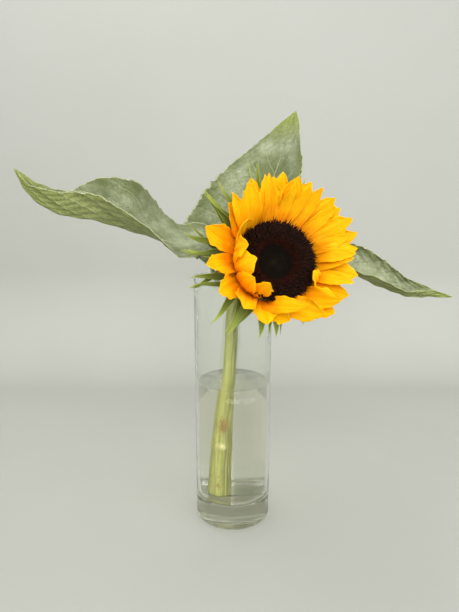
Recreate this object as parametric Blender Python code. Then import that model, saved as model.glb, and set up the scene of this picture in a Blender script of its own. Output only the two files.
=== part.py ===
"""One cut sunflower standing in a tall clear glass cylinder vase that is a little over half full of water.

Metres, +Z up. The origin is the centre of the vase's foot, on the surface that it stands on, and the
flower looks towards -Y. The stem leans from the back of the vase floor to the front of the rim, and
its neck bends over the rim to the flower head, which hangs in front of the glass.
"""

import math

import bmesh
import bpy
import numpy as np

# Glass vase: a heavy-based cylinder that opens very slightly towards the rim.
VASE_HEIGHT = 0.261
FOOT_RADIUS = 0.0396
RIM_RADIUS = 0.0405
WALL = 0.0030
FLOOR_HEIGHT = 0.025
FOOT_ROUNDING = 0.0032
FLOOR_ROUNDING = 0.0040
ROUND_STEPS = 48

# Water, and the gap that touching pieces keep.
WATER_LEVEL = 0.148
GAP = 0.0003

# Flower head: centre of the ring of outer florets, and the way that the face looks.
HEAD_CENTRE = (0.0387, -0.0605, 0.2780)
HEAD_TURN = math.radians(14)
HEAD_RISE = math.radians(14)
DISC_RADIUS = 0.0346
DISC_HEIGHT = 0.0127
RECEPTACLE_RADIUS = 0.0350
RECEPTACLE_BACK = 0.0300

# Stem.
STEM_RADIUS = 0.0065
NECK_RADIUS = 0.0052
SLIMMING = (0.55, 0.85)
FOOT_SWELLING = 0.0024
FOOT_SHARE = 0.30
SCAR_PLACE = 0.151
SCAR_LENGTH = 0.02
SCAR_SWELLING = 0.0007
STEM_SIDES = 14
STEM_RINGS = 36

# Petals and bracts.
PETALS_PER_RING = 15
PETAL_LENGTH = 0.052
PETAL_WIDTH = 0.0165
PETAL_THICKNESS = 0.0005
SHORTER_SHARE = 0.12
SHORTER_SIDE = 322.0
SHORTER_SPREAD = 30.0
PETAL_SEAT = -0.0133
PETAL_RING_STEP = 0.0017
PETAL_CAMBER = 0.0006
BRACT_THICKNESS = 0.0007
BRACT_SEAT = -0.0172
BRACT_CAMBER = 0.0009

# Leaves: how far the stalk leaves the stem before it bends, and the sections of stalk and blade.
STALK_REACH = 0.003
STALK_HALF_WIDTH = 0.0024
STALK_THICKNESS = 0.0040
LEAF_THICKNESS = 0.0009
LEAF_ROWS = 30
LEAF_COLUMNS = 9


def material(name, colour, roughness, transmission=0.0):
    """A Principled material with one colour."""
    made = bpy.data.materials.new(name)
    made.use_nodes = True
    shader = made.node_tree.nodes["Principled BSDF"]
    shader.inputs["Base Color"].default_value = (*colour, 1.0)
    shader.inputs["Roughness"].default_value = roughness
    shader.inputs["Metallic"].default_value = 0.0
    shader.inputs["Transmission Weight"].default_value = transmission
    return made


def add_object(name, mesh, finish, parent=None):
    """Link a mesh as an object, smooth its round faces and give it its material."""
    mesh.shade_smooth()
    mesh.set_sharp_from_angle(angle=math.radians(40))
    mesh.materials.append(finish)
    made = bpy.data.objects.new(name, mesh)
    bpy.context.scene.collection.objects.link(made)
    made.parent = parent
    return made


def turned(name, profile, finish, parent=None):
    """A solid of revolution about Z, from (radius, height) points that start and end on the axis."""
    shape = bmesh.new()
    points = [shape.verts.new((radius, 0.0, height)) for radius, height in profile]
    edges = [shape.edges.new(pair) for pair in zip(points, points[1:])]
    bmesh.ops.spin(
        shape, geom=points + edges, axis=(0, 0, 1), cent=(0, 0, 0), steps=ROUND_STEPS, angle=2 * math.pi
    )
    bmesh.ops.remove_doubles(shape, verts=shape.verts, dist=0.000001)
    bmesh.ops.recalc_face_normals(shape, faces=shape.faces)
    mesh = bpy.data.meshes.new(name)
    shape.to_mesh(mesh)
    shape.free()
    return add_object(name, mesh, finish, parent)


def quarter(centre_radius, centre_height, rounding, first, steps=4):
    """Points of a quarter circle in a profile, starting at the angle first, in degrees."""
    angles = [math.radians(first + 90 * step / steps) for step in range(steps + 1)]
    return [
        (centre_radius + rounding * math.cos(angle), centre_height + rounding * math.sin(angle))
        for angle in angles
    ]


def inner_radius(height):
    """Inside radius of the vase at a height."""
    share = height / VASE_HEIGHT
    return FOOT_RADIUS + (RIM_RADIUS - FOOT_RADIUS) * share - WALL


def build_vase(finish):
    """The glass: rounded foot, straight outer wall, round lip, inner wall and a rounded inner floor."""
    lip = WALL / 2
    inner = inner_radius(FLOOR_HEIGHT)
    outside = quarter(FOOT_RADIUS - FOOT_ROUNDING, FOOT_ROUNDING, FOOT_ROUNDING, -90)
    rim = quarter(RIM_RADIUS - lip, VASE_HEIGHT - lip, lip, 0)
    rim += quarter(RIM_RADIUS - lip, VASE_HEIGHT - lip, lip, 90)[1:]
    inside = quarter(inner - FLOOR_ROUNDING, FLOOR_HEIGHT + FLOOR_ROUNDING, FLOOR_ROUNDING, 270)[::-1]
    return turned("vase", [(0, 0)] + outside + rim + inside + [(0, FLOOR_HEIGHT)], finish)


def smooth_curve(points, places):
    """A Catmull-Rom curve through 3-D points, read at places from 0 to 1."""
    knots = np.array(points, float)
    knots = np.vstack([2 * knots[0] - knots[1], knots, 2 * knots[-1] - knots[-2]])
    spans = len(points) - 1
    scaled = np.clip(np.asarray(places, float), 0, 1) * spans
    first = np.minimum(scaled.astype(int), spans - 1)
    part = (scaled - first)[..., None]
    before, start, end, after = (knots[first + step] for step in range(4))
    return 0.5 * (
        2 * start
        + (end - before) * part
        + (2 * before - 5 * start + 4 * end - after) * part**2
        + (3 * start - before - 3 * end + after) * part**3
    )


def key_values(keys, places):
    """Values that pass smoothly through evenly spaced keys, read at places from 0 to 1."""
    flat = np.array([(value, 0.0, 0.0) for value in keys])
    return smooth_curve(flat, places)[..., 0]


def unit(vectors):
    """Vectors of length one."""
    return vectors / np.linalg.norm(vectors, axis=-1, keepdims=True)


def head_axes():
    """Right, up and outward unit vectors of the flower's face."""
    turn_c, turn_s = math.cos(HEAD_TURN), math.sin(HEAD_TURN)
    rise_c, rise_s = math.cos(HEAD_RISE), math.sin(HEAD_RISE)
    right = np.array([turn_c, turn_s, 0.0])
    upward = np.array([-turn_s * rise_s, turn_c * rise_s, rise_c])
    outward = np.array([turn_s * rise_c, -turn_c * rise_c, rise_s])
    return right, upward, outward


def stem_path(places):
    """Axis of the stem: up through the water, out over the front of the rim and into the head's back."""
    outward = head_axes()[2]
    joint = np.array(HEAD_CENTRE) - (RECEPTACLE_BACK + GAP) * outward
    points = [
        (-0.0108, -0.0010, FLOOR_HEIGHT + GAP),
        (-0.0092, 0.0015, 0.0650),
        (-0.0070, 0.0022, 0.1070),
        (-0.0042, 0.0015, 0.1490),
        (-0.0018, -0.0020, 0.1900),
        (0.0000, -0.0060, 0.2220),
        (0.0065, -0.0085, 0.2470),
        (0.0180, -0.0115, 0.2620),
        tuple(joint - 0.010 * outward),
        tuple(joint),
    ]
    return smooth_curve(points, places)


def tube(path, radii, sides):
    """Vertices and faces of a closed tube along a path, with a flat face at each end."""
    tangent = unit(np.gradient(path, axis=0))
    side = np.empty_like(path)
    carried = np.array([1.0, 0.0, 0.0])
    for ring, direction in enumerate(tangent):
        carried = unit(carried - (carried @ direction) * direction)
        side[ring] = carried
    other = np.cross(tangent, side)
    angle = np.arange(sides) * 2 * math.pi / sides
    spread = np.cos(angle)[None, :, None] * side[:, None] + np.sin(angle)[None, :, None] * other[:, None]
    vertices = (path[:, None] + np.asarray(radii)[:, None, None] * spread).reshape(-1, 3)
    index = np.arange(len(path) * sides).reshape(len(path), sides)
    ahead = np.roll(index, -1, axis=1)
    quads = np.stack([index[:-1], ahead[:-1], ahead[1:], index[1:]], -1).reshape(-1, 4).tolist()
    ends = [index[0, ::-1].tolist(), index[-1].tolist()]
    return vertices, quads + ends


def mesh_of(name, vertices, faces):
    """A mesh from vertices and faces."""
    mesh = bpy.data.meshes.new(name)
    mesh.from_pydata(np.asarray(vertices).tolist(), [], faces)
    mesh.update()
    return mesh


def stem_radii(places):
    """Stem radius: stout at the foot, even above it, swollen at the old leaf scar, slimmer at the neck."""
    share = np.clip((places - SLIMMING[0]) / (SLIMMING[1] - SLIMMING[0]), 0, 1)
    slim = STEM_RADIUS + (NECK_RADIUS - STEM_RADIUS) * share
    foot = FOOT_SWELLING * np.clip(1 - places / FOOT_SHARE, 0, 1)
    scar = SCAR_SWELLING * np.exp(-(((places - SCAR_PLACE) / SCAR_LENGTH) ** 2))
    return slim + foot + scar


def build_stem(finish):
    """The stem, cut flat at its foot and standing on the vase's floor."""
    places = np.linspace(0, 1, STEM_RINGS)
    path = stem_path(places)
    vertices, faces = tube(path, stem_radii(places), STEM_SIDES)
    vertices[:STEM_SIDES, 2] = FLOOR_HEIGHT + GAP
    outward = head_axes()[2]
    end_ring = vertices[-STEM_SIDES:]
    end_ring -= ((end_ring - path[-1]) @ outward)[:, None] * outward
    return add_object("stem", mesh_of("stem", vertices, faces), finish)


def build_water(finish):
    """The water: it fills the vase up to its level and leaves room for the stem."""
    low = FLOOR_HEIGHT + GAP
    inner = inner_radius(FLOOR_HEIGHT) - GAP
    corner = quarter(inner - FLOOR_ROUNDING, low + FLOOR_ROUNDING, FLOOR_ROUNDING, 270)
    side = [(inner_radius(WATER_LEVEL) - GAP, WATER_LEVEL)]
    water = turned("water", [(0, low)] + corner + side + [(0, WATER_LEVEL)], finish)
    places = np.linspace(0, 1, STEM_RINGS)
    places = places[places < 0.70]
    path = stem_path(places)
    vertices, faces = tube(path, stem_radii(places) + 2 * GAP, STEM_SIDES)
    vertices[:STEM_SIDES, 2] = FLOOR_HEIGHT - 0.002
    cutter = bpy.data.objects.new("water_cutter", mesh_of("water_cutter", vertices, faces))
    bpy.context.scene.collection.objects.link(cutter)
    cutter.hide_render = True
    cutter.display_type = "WIRE"
    cut = water.modifiers.new("stem_room", "BOOLEAN")
    cut.operation = "DIFFERENCE"
    cut.solver = "EXACT"
    cut.object = cutter
    return water


def shell(mid, thickness):
    """Vertices and faces of a thin closed solid around a grid of points, half the thickness each way."""
    normal = unit(np.cross(np.gradient(mid, axis=0), np.gradient(mid, axis=1)))
    half = 0.5 * np.broadcast_to(thickness, mid.shape[:2])[..., None] * normal
    rows, columns = mid.shape[:2]
    count = rows * columns
    index = np.arange(count).reshape(rows, columns)
    a, b, c, d = index[:-1, :-1], index[1:, :-1], index[1:, 1:], index[:-1, 1:]
    upper = np.stack([a, b, c, d], -1).reshape(-1, 4)
    lower = np.stack([a, d, c, b], -1).reshape(-1, 4) + count
    border = np.concatenate([index[:, 0], index[-1, 1:], index[-2::-1, -1], index[0, -2:0:-1]])
    ahead = np.roll(border, -1)
    side = np.stack([ahead, border, border + count, ahead + count], -1)
    vertices = np.concatenate([(mid + half).reshape(-1, 3), (mid - half).reshape(-1, 3)])
    return vertices, np.concatenate([upper, lower, side]).tolist()


def petal_grid(spec, rows, columns, breadth):
    """Mid-surface of a petal or bract in the head's frame.

    A strip starts on the root circle at the azimuth, runs out in the radial direction turned by lean,
    and rises at the lift angle, which grows by curl towards the tip. Its half-width at the share s of
    its length is the width times breadth(s), and its margins bend up by the camber.
    """
    s = np.linspace(0, 1, rows)
    v = np.linspace(-1, 1, columns)
    azimuth = math.radians(spec["azimuth"])
    heading = azimuth + math.radians(spec["lean"]) * np.clip(s * 3, 0, 1)
    rise = np.radians(spec["lift"] + spec["curl"] * s**1.5)
    step = spec["length"] / (rows - 1)
    ahead = np.stack([np.cos(rise) * np.cos(heading), np.cos(rise) * np.sin(heading), np.sin(rise)], -1)
    middle = 0.5 * (ahead[1:] + ahead[:-1]) * step
    radius = RECEPTACLE_RADIUS + 1.3 * GAP + 0.5 * spec["thickness"] * abs(math.sin(rise[0]))
    root = np.array([radius * math.cos(azimuth), radius * math.sin(azimuth), spec["height"]])
    spine = root + np.vstack([np.zeros(3), np.cumsum(middle, axis=0)])
    across = np.stack([-np.sin(heading), np.cos(heading), np.zeros(rows)], -1)
    normal = np.cross(ahead, across)
    half = 0.5 * spec["width"] * breadth(s)
    offset = half[:, None] * v
    bend = spec["camber"] * (half / half.max())[:, None] * v**2
    return spine[:, None] + offset[..., None] * across[:, None] + bend[..., None] * normal[:, None]


def petal_breadth(s):
    """Share of the full width: a narrow root, the widest part past the middle, a pointed tip."""
    return np.clip(2.00 * (0.045 + s) ** 0.55 * (1.03 - s) ** 0.62, 0.07, 1.0)


def bract_breadth(s):
    """Share of the full width: widest just past the root, then a long thin tip."""
    return np.clip((0.80 + 1.3 * s) * (1 - s) ** 1.15, 0.08, 1.0)


def bell(values, centre, width):
    """A bell-shaped bump: e to the power of minus the squared distance from the centre in widths."""
    return math.exp(-(((values - centre) / width) ** 2))


def shortening(azimuth):
    """Share of the full petal length that is left at an azimuth: the petals at the lower right are shorter."""
    return 1 - SHORTER_SHARE * bell(azimuth, SHORTER_SIDE, SHORTER_SPREAD)


def cup_angle(azimuth):
    """How steeply the petals rise at an azimuth: open at the upper right, closed below."""
    below = (azimuth - 305.0) / 40.0
    return 50.5 - 13.5 * math.cos(math.radians(azimuth - 65.0)) + 9.0 * math.exp(-(below**2))


# Petals that leave the even cup: ring (0 inner, 1 outer) and place in it, with what differs.
FOLDED_PETALS = {
    (0, 6): {"lift": 66.0, "curl": 34.0, "width": 0.0165},
    (0, 7): {"azimuth": 165.0, "lift": 70.0, "curl": 56.0, "length": 0.041, "width": 0.0165},
    (0, 8): {"azimuth": 188.0, "lift": 78.0, "curl": 66.0, "length": 0.042, "width": 0.0165},
    (0, 9): {"azimuth": 212.0, "lift": 72.0, "curl": 44.0, "length": 0.041, "width": 0.0165},
    (0, 10): {"azimuth": 237.0, "lift": 84.0, "curl": 44.0, "length": 0.038, "width": 0.0170},
    (0, 11): {"azimuth": 256.0, "lift": 68.0, "curl": 8.0, "lean": 40.0, "length": 0.046, "width": 0.0160},
    (0, 12): {"azimuth": 284.0, "lift": 54.0, "curl": 6.0, "lean": 56.0, "length": 0.048},
    (0, 13): {"azimuth": 308.0, "lift": 55.0, "curl": 2.0, "lean": 28.0},
    (0, 14): {"azimuth": 332.0, "lift": 60.0, "curl": 104.0, "length": 0.037, "width": 0.0165},
    (1, 5): {"curl": 4.0, "length": 0.041},
    (1, 10): {"lift": 44.0, "curl": 8.0, "lean": 16.0, "length": 0.034},
    (1, 11): {"azimuth": 264.0, "lift": 44.0, "curl": 8.0, "lean": 44.0, "length": 0.031},
    (1, 12): {"azimuth": 298.0, "lift": 40.0, "curl": 8.0, "lean": 34.0, "length": 0.046},
    (1, 13): {"lift": 44.0, "curl": 4.0, "lean": 14.0},
}


def petal_specs():
    """Every petal: two rings of evenly spaced petals, a little uneven, and the folded ones."""
    random = np.random.default_rng(7)
    pitch = 360.0 / PETALS_PER_RING
    for ring in range(2):
        for place in range(PETALS_PER_RING):
            azimuth = (place + 0.5 * ring) * pitch + random.uniform(-2.0, 2.0)
            spec = {
                "azimuth": azimuth,
                "lean": random.uniform(-5.0, 5.0),
                "lift": cup_angle(azimuth) + (3.0 if ring == 0 else -7.0),
                "curl": random.uniform(-7.0, 5.0),
                "length": PETAL_LENGTH * random.uniform(0.90, 1.03) * shortening(azimuth),
                "width": PETAL_WIDTH * random.uniform(0.92, 1.05),
                "thickness": PETAL_THICKNESS,
                "height": PETAL_SEAT - PETAL_RING_STEP * ring,
                "camber": PETAL_CAMBER,
            }
            spec.update(FOLDED_PETALS.get((ring, place), {}))
            yield spec


# Bracts: azimuth and lift in degrees, curl in degrees, length and width in metres.
BRACTS = [
    (8.0, 26.0, 6.0, 0.038, 0.0080),
    (38.0, 26.0, 6.0, 0.038, 0.0080),
    (66.0, 22.0, 6.0, 0.052, 0.0095),
    (86.0, 22.0, 6.0, 0.050, 0.0095),
    (104.0, 24.0, 8.0, 0.058, 0.0110),
    (121.0, 24.0, 12.0, 0.060, 0.0115),
    (138.0, 20.0, 16.0, 0.059, 0.0115),
    (154.0, 16.0, 20.0, 0.057, 0.0110),
    (174.0, 16.0, 4.0, 0.050, 0.0095),
    (194.0, 18.0, -8.0, 0.046, 0.0095),
    (214.0, 20.0, -10.0, 0.050, 0.0100),
    (233.0, 14.0, -22.0, 0.044, 0.0105),
    (252.0, 4.0, -34.0, 0.036, 0.0112),
    (270.0, -2.0, -34.0, 0.034, 0.0112),
    (290.0, 6.0, -30.0, 0.030, 0.0112),
    (316.0, 20.0, -6.0, 0.030, 0.0100),
    (342.0, 26.0, 4.0, 0.038, 0.0090),
]


def bract_specs():
    """Every bract: one ring of tapering green scales behind the petals."""
    for azimuth, lift, curl, length, width in BRACTS:
        yield {
            "azimuth": azimuth,
            "lean": 0.0,
            "lift": lift,
            "curl": curl,
            "length": length,
            "width": width,
            "thickness": BRACT_THICKNESS,
            "height": BRACT_SEAT,
            "camber": BRACT_CAMBER,
        }


# Leaves: the stalk and midrib as one line of points from the stem to the tip, the share of that line
# that is stalk, the two half-widths, and the angles at which the halves rise beside the midrib, in
# degrees, from the start of the blade to its tip. Each half turns further by its curl at the margin.
LEAVES = {
    "leaf_left": {
        "line": [
            (-0.0170, -0.0110, 0.2560),
            (-0.0295, -0.0127, 0.2900),
            (-0.0560, -0.0180, 0.2930),
            (-0.0860, -0.0260, 0.3015),
            (-0.1250, -0.0330, 0.3140),
            (-0.1590, -0.0390, 0.3200),
            (-0.1850, -0.0440, 0.3370),
            (-0.1950, -0.0480, 0.3590),
        ],
        "joint": 0.615,
        "clearance": 0.0005,
        "side": (0.0, -1.0, 0.0),
        "stalk": 0.27,
        "peak": 0.62,
        "sweep": (0.0, 0.0),
        "widths": (0.036, 0.050),
        "near": (-25.0, -30.0, 15.0, 50.0, 55.0, 50.0),
        "far": (34.0, 31.0, 29.0, 33.0, 50.0, 84.0, 62.0, 52.0, 48.0, 45.0, 42.0),
        "curls": (10.0, 0.0),
    },
    "leaf_back": {
        "line": [
            (0.0070, 0.0060, 0.2640),
            (0.0200, 0.0150, 0.3000),
            (0.0320, 0.0240, 0.3300),
            (0.0450, 0.0330, 0.3650),
            (0.0570, 0.0440, 0.4000),
            (0.0690, 0.0560, 0.4350),
        ],
        "joint": 0.655,
        "clearance": 0.0011,
        "side": (-1.0, 0.30, 0.0),
        "stalk": 0.34,
        "peak": 0.50,
        "sweep": (0.31, 0.08),
        "widths": (0.074, 0.050),
        "near": (10.0, 14.0, 16.0, 18.0, 14.0, 5.0),
        "far": (30.0, 30.0, 30.0, 28.0, 20.0, 5.0),
        "curls": (-12.0, 10.0),
    },
    "leaf_right": {
        "line": [
            (0.0330, -0.0050, 0.2745),
            (0.0480, -0.0035, 0.2840),
            (0.0700, -0.0060, 0.2850),
            (0.0940, -0.0145, 0.2770),
            (0.1178, -0.0250, 0.2645),
            (0.1400, -0.0330, 0.2530),
            (0.1620, -0.0400, 0.2450),
            (0.1850, -0.0440, 0.2440),
            (0.2040, -0.0456, 0.2440),
        ],
        "joint": 0.80,
        "clearance": 0.0011,
        "side": (0.0, -1.0, 0.0),
        "stalk": 0.37,
        "peak": 0.62,
        "sweep": (0.0, 0.0),
        "widths": (0.021, 0.031),
        "near": (-20.0, -10.0, 0.0, 20.0, 40.0, 40.0),
        "far": (35.0, 40.0, 42.0, 40.0, 36.0, 30.0),
        "curls": (0.0, 110.0),
    },
}


def leaf_breadth(share, peak):
    """Half-width along the blade as a share of the widest: a broad base and a drawn-out point.

    It is the sine of pi times the share to the power of peak: the lower the peak, the nearer the
    widest place lies to the base.
    """
    body = np.sin(math.pi * np.clip(share, 0, 1) ** peak)
    return np.clip(body, 0, 1) ** 0.85


def stalk_start(spec):
    """First two points of a leaf's line: just clear of the stem's skin, then out and a little up."""
    place = np.array([spec["joint"], spec["joint"] + 0.01])
    axis = stem_path(place)
    along = unit(axis[1] - axis[0])
    out = np.array(spec["line"][0]) - axis[0]
    out = unit(out - (out @ along) * along)
    root = axis[0] + (stem_radii(place)[0] + GAP + spec["clearance"]) * out
    return [tuple(root), tuple(root + STALK_REACH * unit(out + 0.6 * along))]


def leaf_grid(spec, rows, columns):
    """Mid-surface of a leaf: rows along the stalk and midrib, columns across both halves.

    Across the blade a half starts at its rise angle beside the midrib and turns evenly by its curl
    until the margin, which its sweep draws back towards the stalk, as the lobes of a heart are. The
    near half lies on the side that the leaf's side direction points to.
    """
    t = np.linspace(0, 1, rows)
    v = np.linspace(-1, 1, columns)
    spine = smooth_curve(stalk_start(spec) + spec["line"], t)
    ahead = unit(np.gradient(spine, axis=0))
    side = np.array(spec["side"]) - (ahead @ np.array(spec["side"]))[:, None] * ahead
    side = unit(side)
    upward = np.cross(ahead, side)
    upward *= np.sign(upward[-1, 2])
    share = (t - spec["stalk"]) / (1 - spec["stalk"])
    blade = leaf_breadth(share, spec["peak"])
    grid = np.empty((rows, columns, 3))
    reach = np.abs(v)
    halves = zip((1, -1), ("near", "far"), spec["widths"], spec["curls"], spec["sweep"])
    for sign, key, width, curl, sweep in halves:
        chosen = v * sign >= 0
        half = np.maximum(width * blade, STALK_HALF_WIDTH * np.clip((1.02 - t) * 14, 0.3, 1))
        first = np.radians(key_values(spec[key], np.clip(share, 0, 1)))
        first = first * np.clip((share + 0.10) / 0.10, 0, 1)
        steps = 40
        fine = np.linspace(0, 1, steps + 1)
        turn = first[:, None] + math.radians(curl) * fine**2 * np.clip(blade, 0, 1)[:, None]
        middle = 0.5 * (turn[:, 1:] + turn[:, :-1])
        start = np.zeros((rows, 1))
        out = np.hstack([start, np.cumsum(np.cos(middle), axis=1) / steps])
        up = np.hstack([start, np.cumsum(np.sin(middle), axis=1) / steps])
        picked = np.rint(reach[chosen] * steps).astype(int)
        grid[:, chosen] = (
            spine[:, None]
            + sign * (half[:, None] * out[:, picked])[..., None] * side[:, None]
            + (half[:, None] * up[:, picked])[..., None] * upward[:, None]
            - (sweep * half[:, None] * reach[chosen] ** 1.5)[..., None] * ahead[:, None]
        )
    return grid, t


def build_leaf(name, spec, finish):
    """One leaf with its stalk: a thin blade that thickens into the stalk."""
    grid, t = leaf_grid(spec, LEAF_ROWS, LEAF_COLUMNS)
    share = np.clip((t - spec["stalk"] + 0.02) / 0.10, 0, 1)[:, None]
    profile = 1 - 0.6 * np.linspace(-1, 1, LEAF_COLUMNS)[None, :] ** 2
    thickness = STALK_THICKNESS * profile * (1 - share) + LEAF_THICKNESS * share
    vertices, faces = shell(grid, thickness)
    return add_object(name, mesh_of(name, vertices, faces), finish)


def disc_profile():
    """Profile of the seed head: a raised ring of open florets round a sunken middle."""
    foot = -DISC_HEIGHT
    return [
        (0, foot),
        (0.0300, foot),
        (0.0322, -0.0090),
        (DISC_RADIUS - 0.0006, -0.0040),
        (DISC_RADIUS, -0.0012),
        (0.0335, 0.0004),
        (0.0300, 0.0008),
        (0.0250, -0.0006),
        (0.0200, -0.0042),
        (0.0150, -0.0072),
        (0.0080, -0.0080),
        (0, -0.0082),
    ]


def receptacle_profile():
    """Profile of the green back of the head, from the neck to the seat of the seed head."""
    seat = -(DISC_HEIGHT + GAP)
    edge = RECEPTACLE_RADIUS
    return [
        (0, -RECEPTACLE_BACK),
        (NECK_RADIUS + 0.0002, -RECEPTACLE_BACK),
        (0.0078, -0.0285),
        (0.0135, -0.0262),
        (0.0240, -0.0230),
        (0.0315, -0.0205),
        (edge, -0.0180),
        (edge, seat - 0.0004),
        (edge - 0.0006, seat),
        (0, seat),
    ]


def main():
    for old in list(bpy.data.objects):
        bpy.data.objects.remove(old)
    glass = material("clear_glass", (0.92, 0.95, 0.93), 0.02, 1.0)
    liquid = material("still_water", (0.90, 0.95, 0.94), 0.02, 1.0)
    stem_green = material("stem_green", (0.42, 0.44, 0.17), 0.50)
    leaf_green = material("leaf_green", (0.27, 0.31, 0.18), 0.55)
    bract_green = material("bract_green", (0.27, 0.32, 0.12), 0.55)
    ray_yellow = material("ray_yellow", (0.98, 0.48, 0.01), 0.50)
    seed_brown = material("seed_brown", (0.020, 0.010, 0.006), 0.75)

    build_vase(glass)
    build_stem(stem_green)
    build_water(liquid)

    head = bpy.data.objects.new("flower_head", None)
    bpy.context.scene.collection.objects.link(head)
    head.location = HEAD_CENTRE
    head.rotation_euler = (math.pi / 2 - HEAD_RISE, 0.0, HEAD_TURN)
    turned("receptacle", receptacle_profile(), bract_green, head)
    turned("disc_florets", disc_profile(), seed_brown, head)
    for number, spec in enumerate(petal_specs(), 1):
        name = f"ray_petal_{number:02d}"
        grid = petal_grid(spec, 9, 5, petal_breadth)
        vertices, faces = shell(grid, PETAL_THICKNESS)
        add_object(name, mesh_of(name, vertices, faces), ray_yellow, head)
    for number, spec in enumerate(bract_specs(), 1):
        name = f"bract_{number:02d}"
        grid = petal_grid(spec, 8, 3, bract_breadth)
        vertices, faces = shell(grid, BRACT_THICKNESS)
        add_object(name, mesh_of(name, vertices, faces), bract_green, head)
    for name, spec in LEAVES.items():
        build_leaf(name, spec, leaf_green)


main()
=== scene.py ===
"""Finished look of one cut sunflower that stands in a clear glass cylinder vase part filled with water.

Metres, +Z up, with the origin at the centre of the vase's foot; the flower looks towards -Y. Every new
piece is a surface worked out as whole arrays: a profile turned round an axis, a ring carried along a
path, or a blade on a grid of (along, across).
"""

import math

import bpy
import numpy as np
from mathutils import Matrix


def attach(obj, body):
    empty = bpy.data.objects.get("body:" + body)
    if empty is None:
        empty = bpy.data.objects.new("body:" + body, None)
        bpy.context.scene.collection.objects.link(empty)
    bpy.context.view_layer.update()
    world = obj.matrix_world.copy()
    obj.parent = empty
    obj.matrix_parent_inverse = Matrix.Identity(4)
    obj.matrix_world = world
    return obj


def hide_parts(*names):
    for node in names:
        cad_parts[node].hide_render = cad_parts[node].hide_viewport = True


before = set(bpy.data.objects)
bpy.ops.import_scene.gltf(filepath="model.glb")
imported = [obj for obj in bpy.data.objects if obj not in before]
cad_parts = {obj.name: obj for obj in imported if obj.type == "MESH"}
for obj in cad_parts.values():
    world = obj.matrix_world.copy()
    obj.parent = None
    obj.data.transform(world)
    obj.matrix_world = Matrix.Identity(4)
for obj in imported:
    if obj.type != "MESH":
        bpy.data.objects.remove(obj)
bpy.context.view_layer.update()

# The frame's own sizes, as the construction names them.
VASE_HEIGHT = 0.261
FOOT_RADIUS = 0.0396
RIM_RADIUS = 0.0405
WALL = 0.0030
FLOOR_HEIGHT = 0.025
FOOT_ROUNDING = 0.0032
FLOOR_ROUNDING = 0.0040
WATER_LEVEL = 0.148
GAP = 0.0003
HEAD_CENTRE = np.array([0.0387, -0.0605, 0.2780])
HEAD_TURN = math.radians(14)
HEAD_RISE = math.radians(14)
DISC_RADIUS = 0.0346
RECEPTACLE_RADIUS = 0.0350
RECEPTACLE_BACK = 0.0300
STEM_RADIUS = 0.0065
NECK_RADIUS = 0.0052
SLIMMING = (0.55, 0.85)
FOOT_SWELLING = 0.0024
FOOT_SHARE = 0.30
PETALS_PER_RING = 15
PETAL_LENGTH = 0.052
PETAL_WIDTH = 0.0165
SHORTER_SHARE = 0.12
SHORTER_SIDE = 322.0
SHORTER_SPREAD = 30.0
PETAL_SEAT = -0.0133
PETAL_RING_STEP = 0.0017
BRACT_SEAT = -0.0172
STALK_REACH = 0.003
STALK_HALF_WIDTH = 0.0024
STALK_THICKNESS = 0.0040

# Finer sizes that only the finished surfaces have.
ROUND_SIDES = 192
MENISCUS = 0.0016
MENISCUS_FALL = 0.0012
CLING = -0.00012
STEM_SCAR = (0.151, -1.75)
STEM_STAIN = (0.212, -1.60)
STEM_SPOT = (0.030, -1.75)
PETAL_SKIN = 0.00042
BRACT_SKIN = 0.00055
LEAF_SKIN = 0.00045
MIDRIB_DEPTH = 0.0013
BUD_COUNT = 1500
BUD_SPACING = 0.00089
FLORET_ROOT = 0.0014
STYLE_WIDTH = 0.00036
CLOSED_SIDE = math.radians(208.0)
LEAF_TEETH = 23
SIDE_VEINS = 8.0
VEIN_SLOPE = 0.30
TAU = math.tau

# How light passes the clear bodies: index of refraction and the share that leaves straight through.
GLASS_INDEX = 1.44
GLASS_ESCAPE = 0.20
WATER_INDEX = 1.333
WATER_ESCAPE = 0.45

# Stage, lamps (name, place, size, power, colour) and eye.
FLOOR_FRONT = 0.52
FLOOR_BACK = 0.62
FLOOR_BEND = 0.22
FLOOR_SIDE = 3.0
WALL_HEIGHT = 2.6
AIM = np.array([0.01, -0.02, 0.22])
LAMPS = [
    ("key", (0.0, -1.75, 1.10), 1.5, 40.0, (1.0, 0.985, 0.96)),
    ("fill", (1.4, -1.1, 0.7), 1.4, 17.0, (0.97, 0.98, 1.0)),
    ("top", (-0.3, 0.2, 1.9), 1.6, 9.0, (1.0, 1.0, 1.0)),
    ("back", (-0.40, 0.42, 1.45), 0.8, 6.0, (1.0, 0.99, 0.97)),
]
ROOM_FRONT = (0.84, 0.90, 0.93, 1.0)
ROOM_BACK = (0.78, 0.79, 0.80, 1.0)
ROOM_STRENGTH = 0.75
EYE = (-0.0035, -0.462, 0.299)
EYE_TILT = math.radians(81.3)
LENS = 26.47
SENSOR = 36.0


# ---------------------------------------------------------------- shapes


def unit(vectors):
    """Vectors of length one."""
    return vectors / np.linalg.norm(vectors, axis=-1, keepdims=True)


def bell(values, centre, width):
    """A bell-shaped bump: e to the power of minus the squared distance from the centre in widths."""
    return np.exp(-(((values - centre) / width) ** 2))


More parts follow.
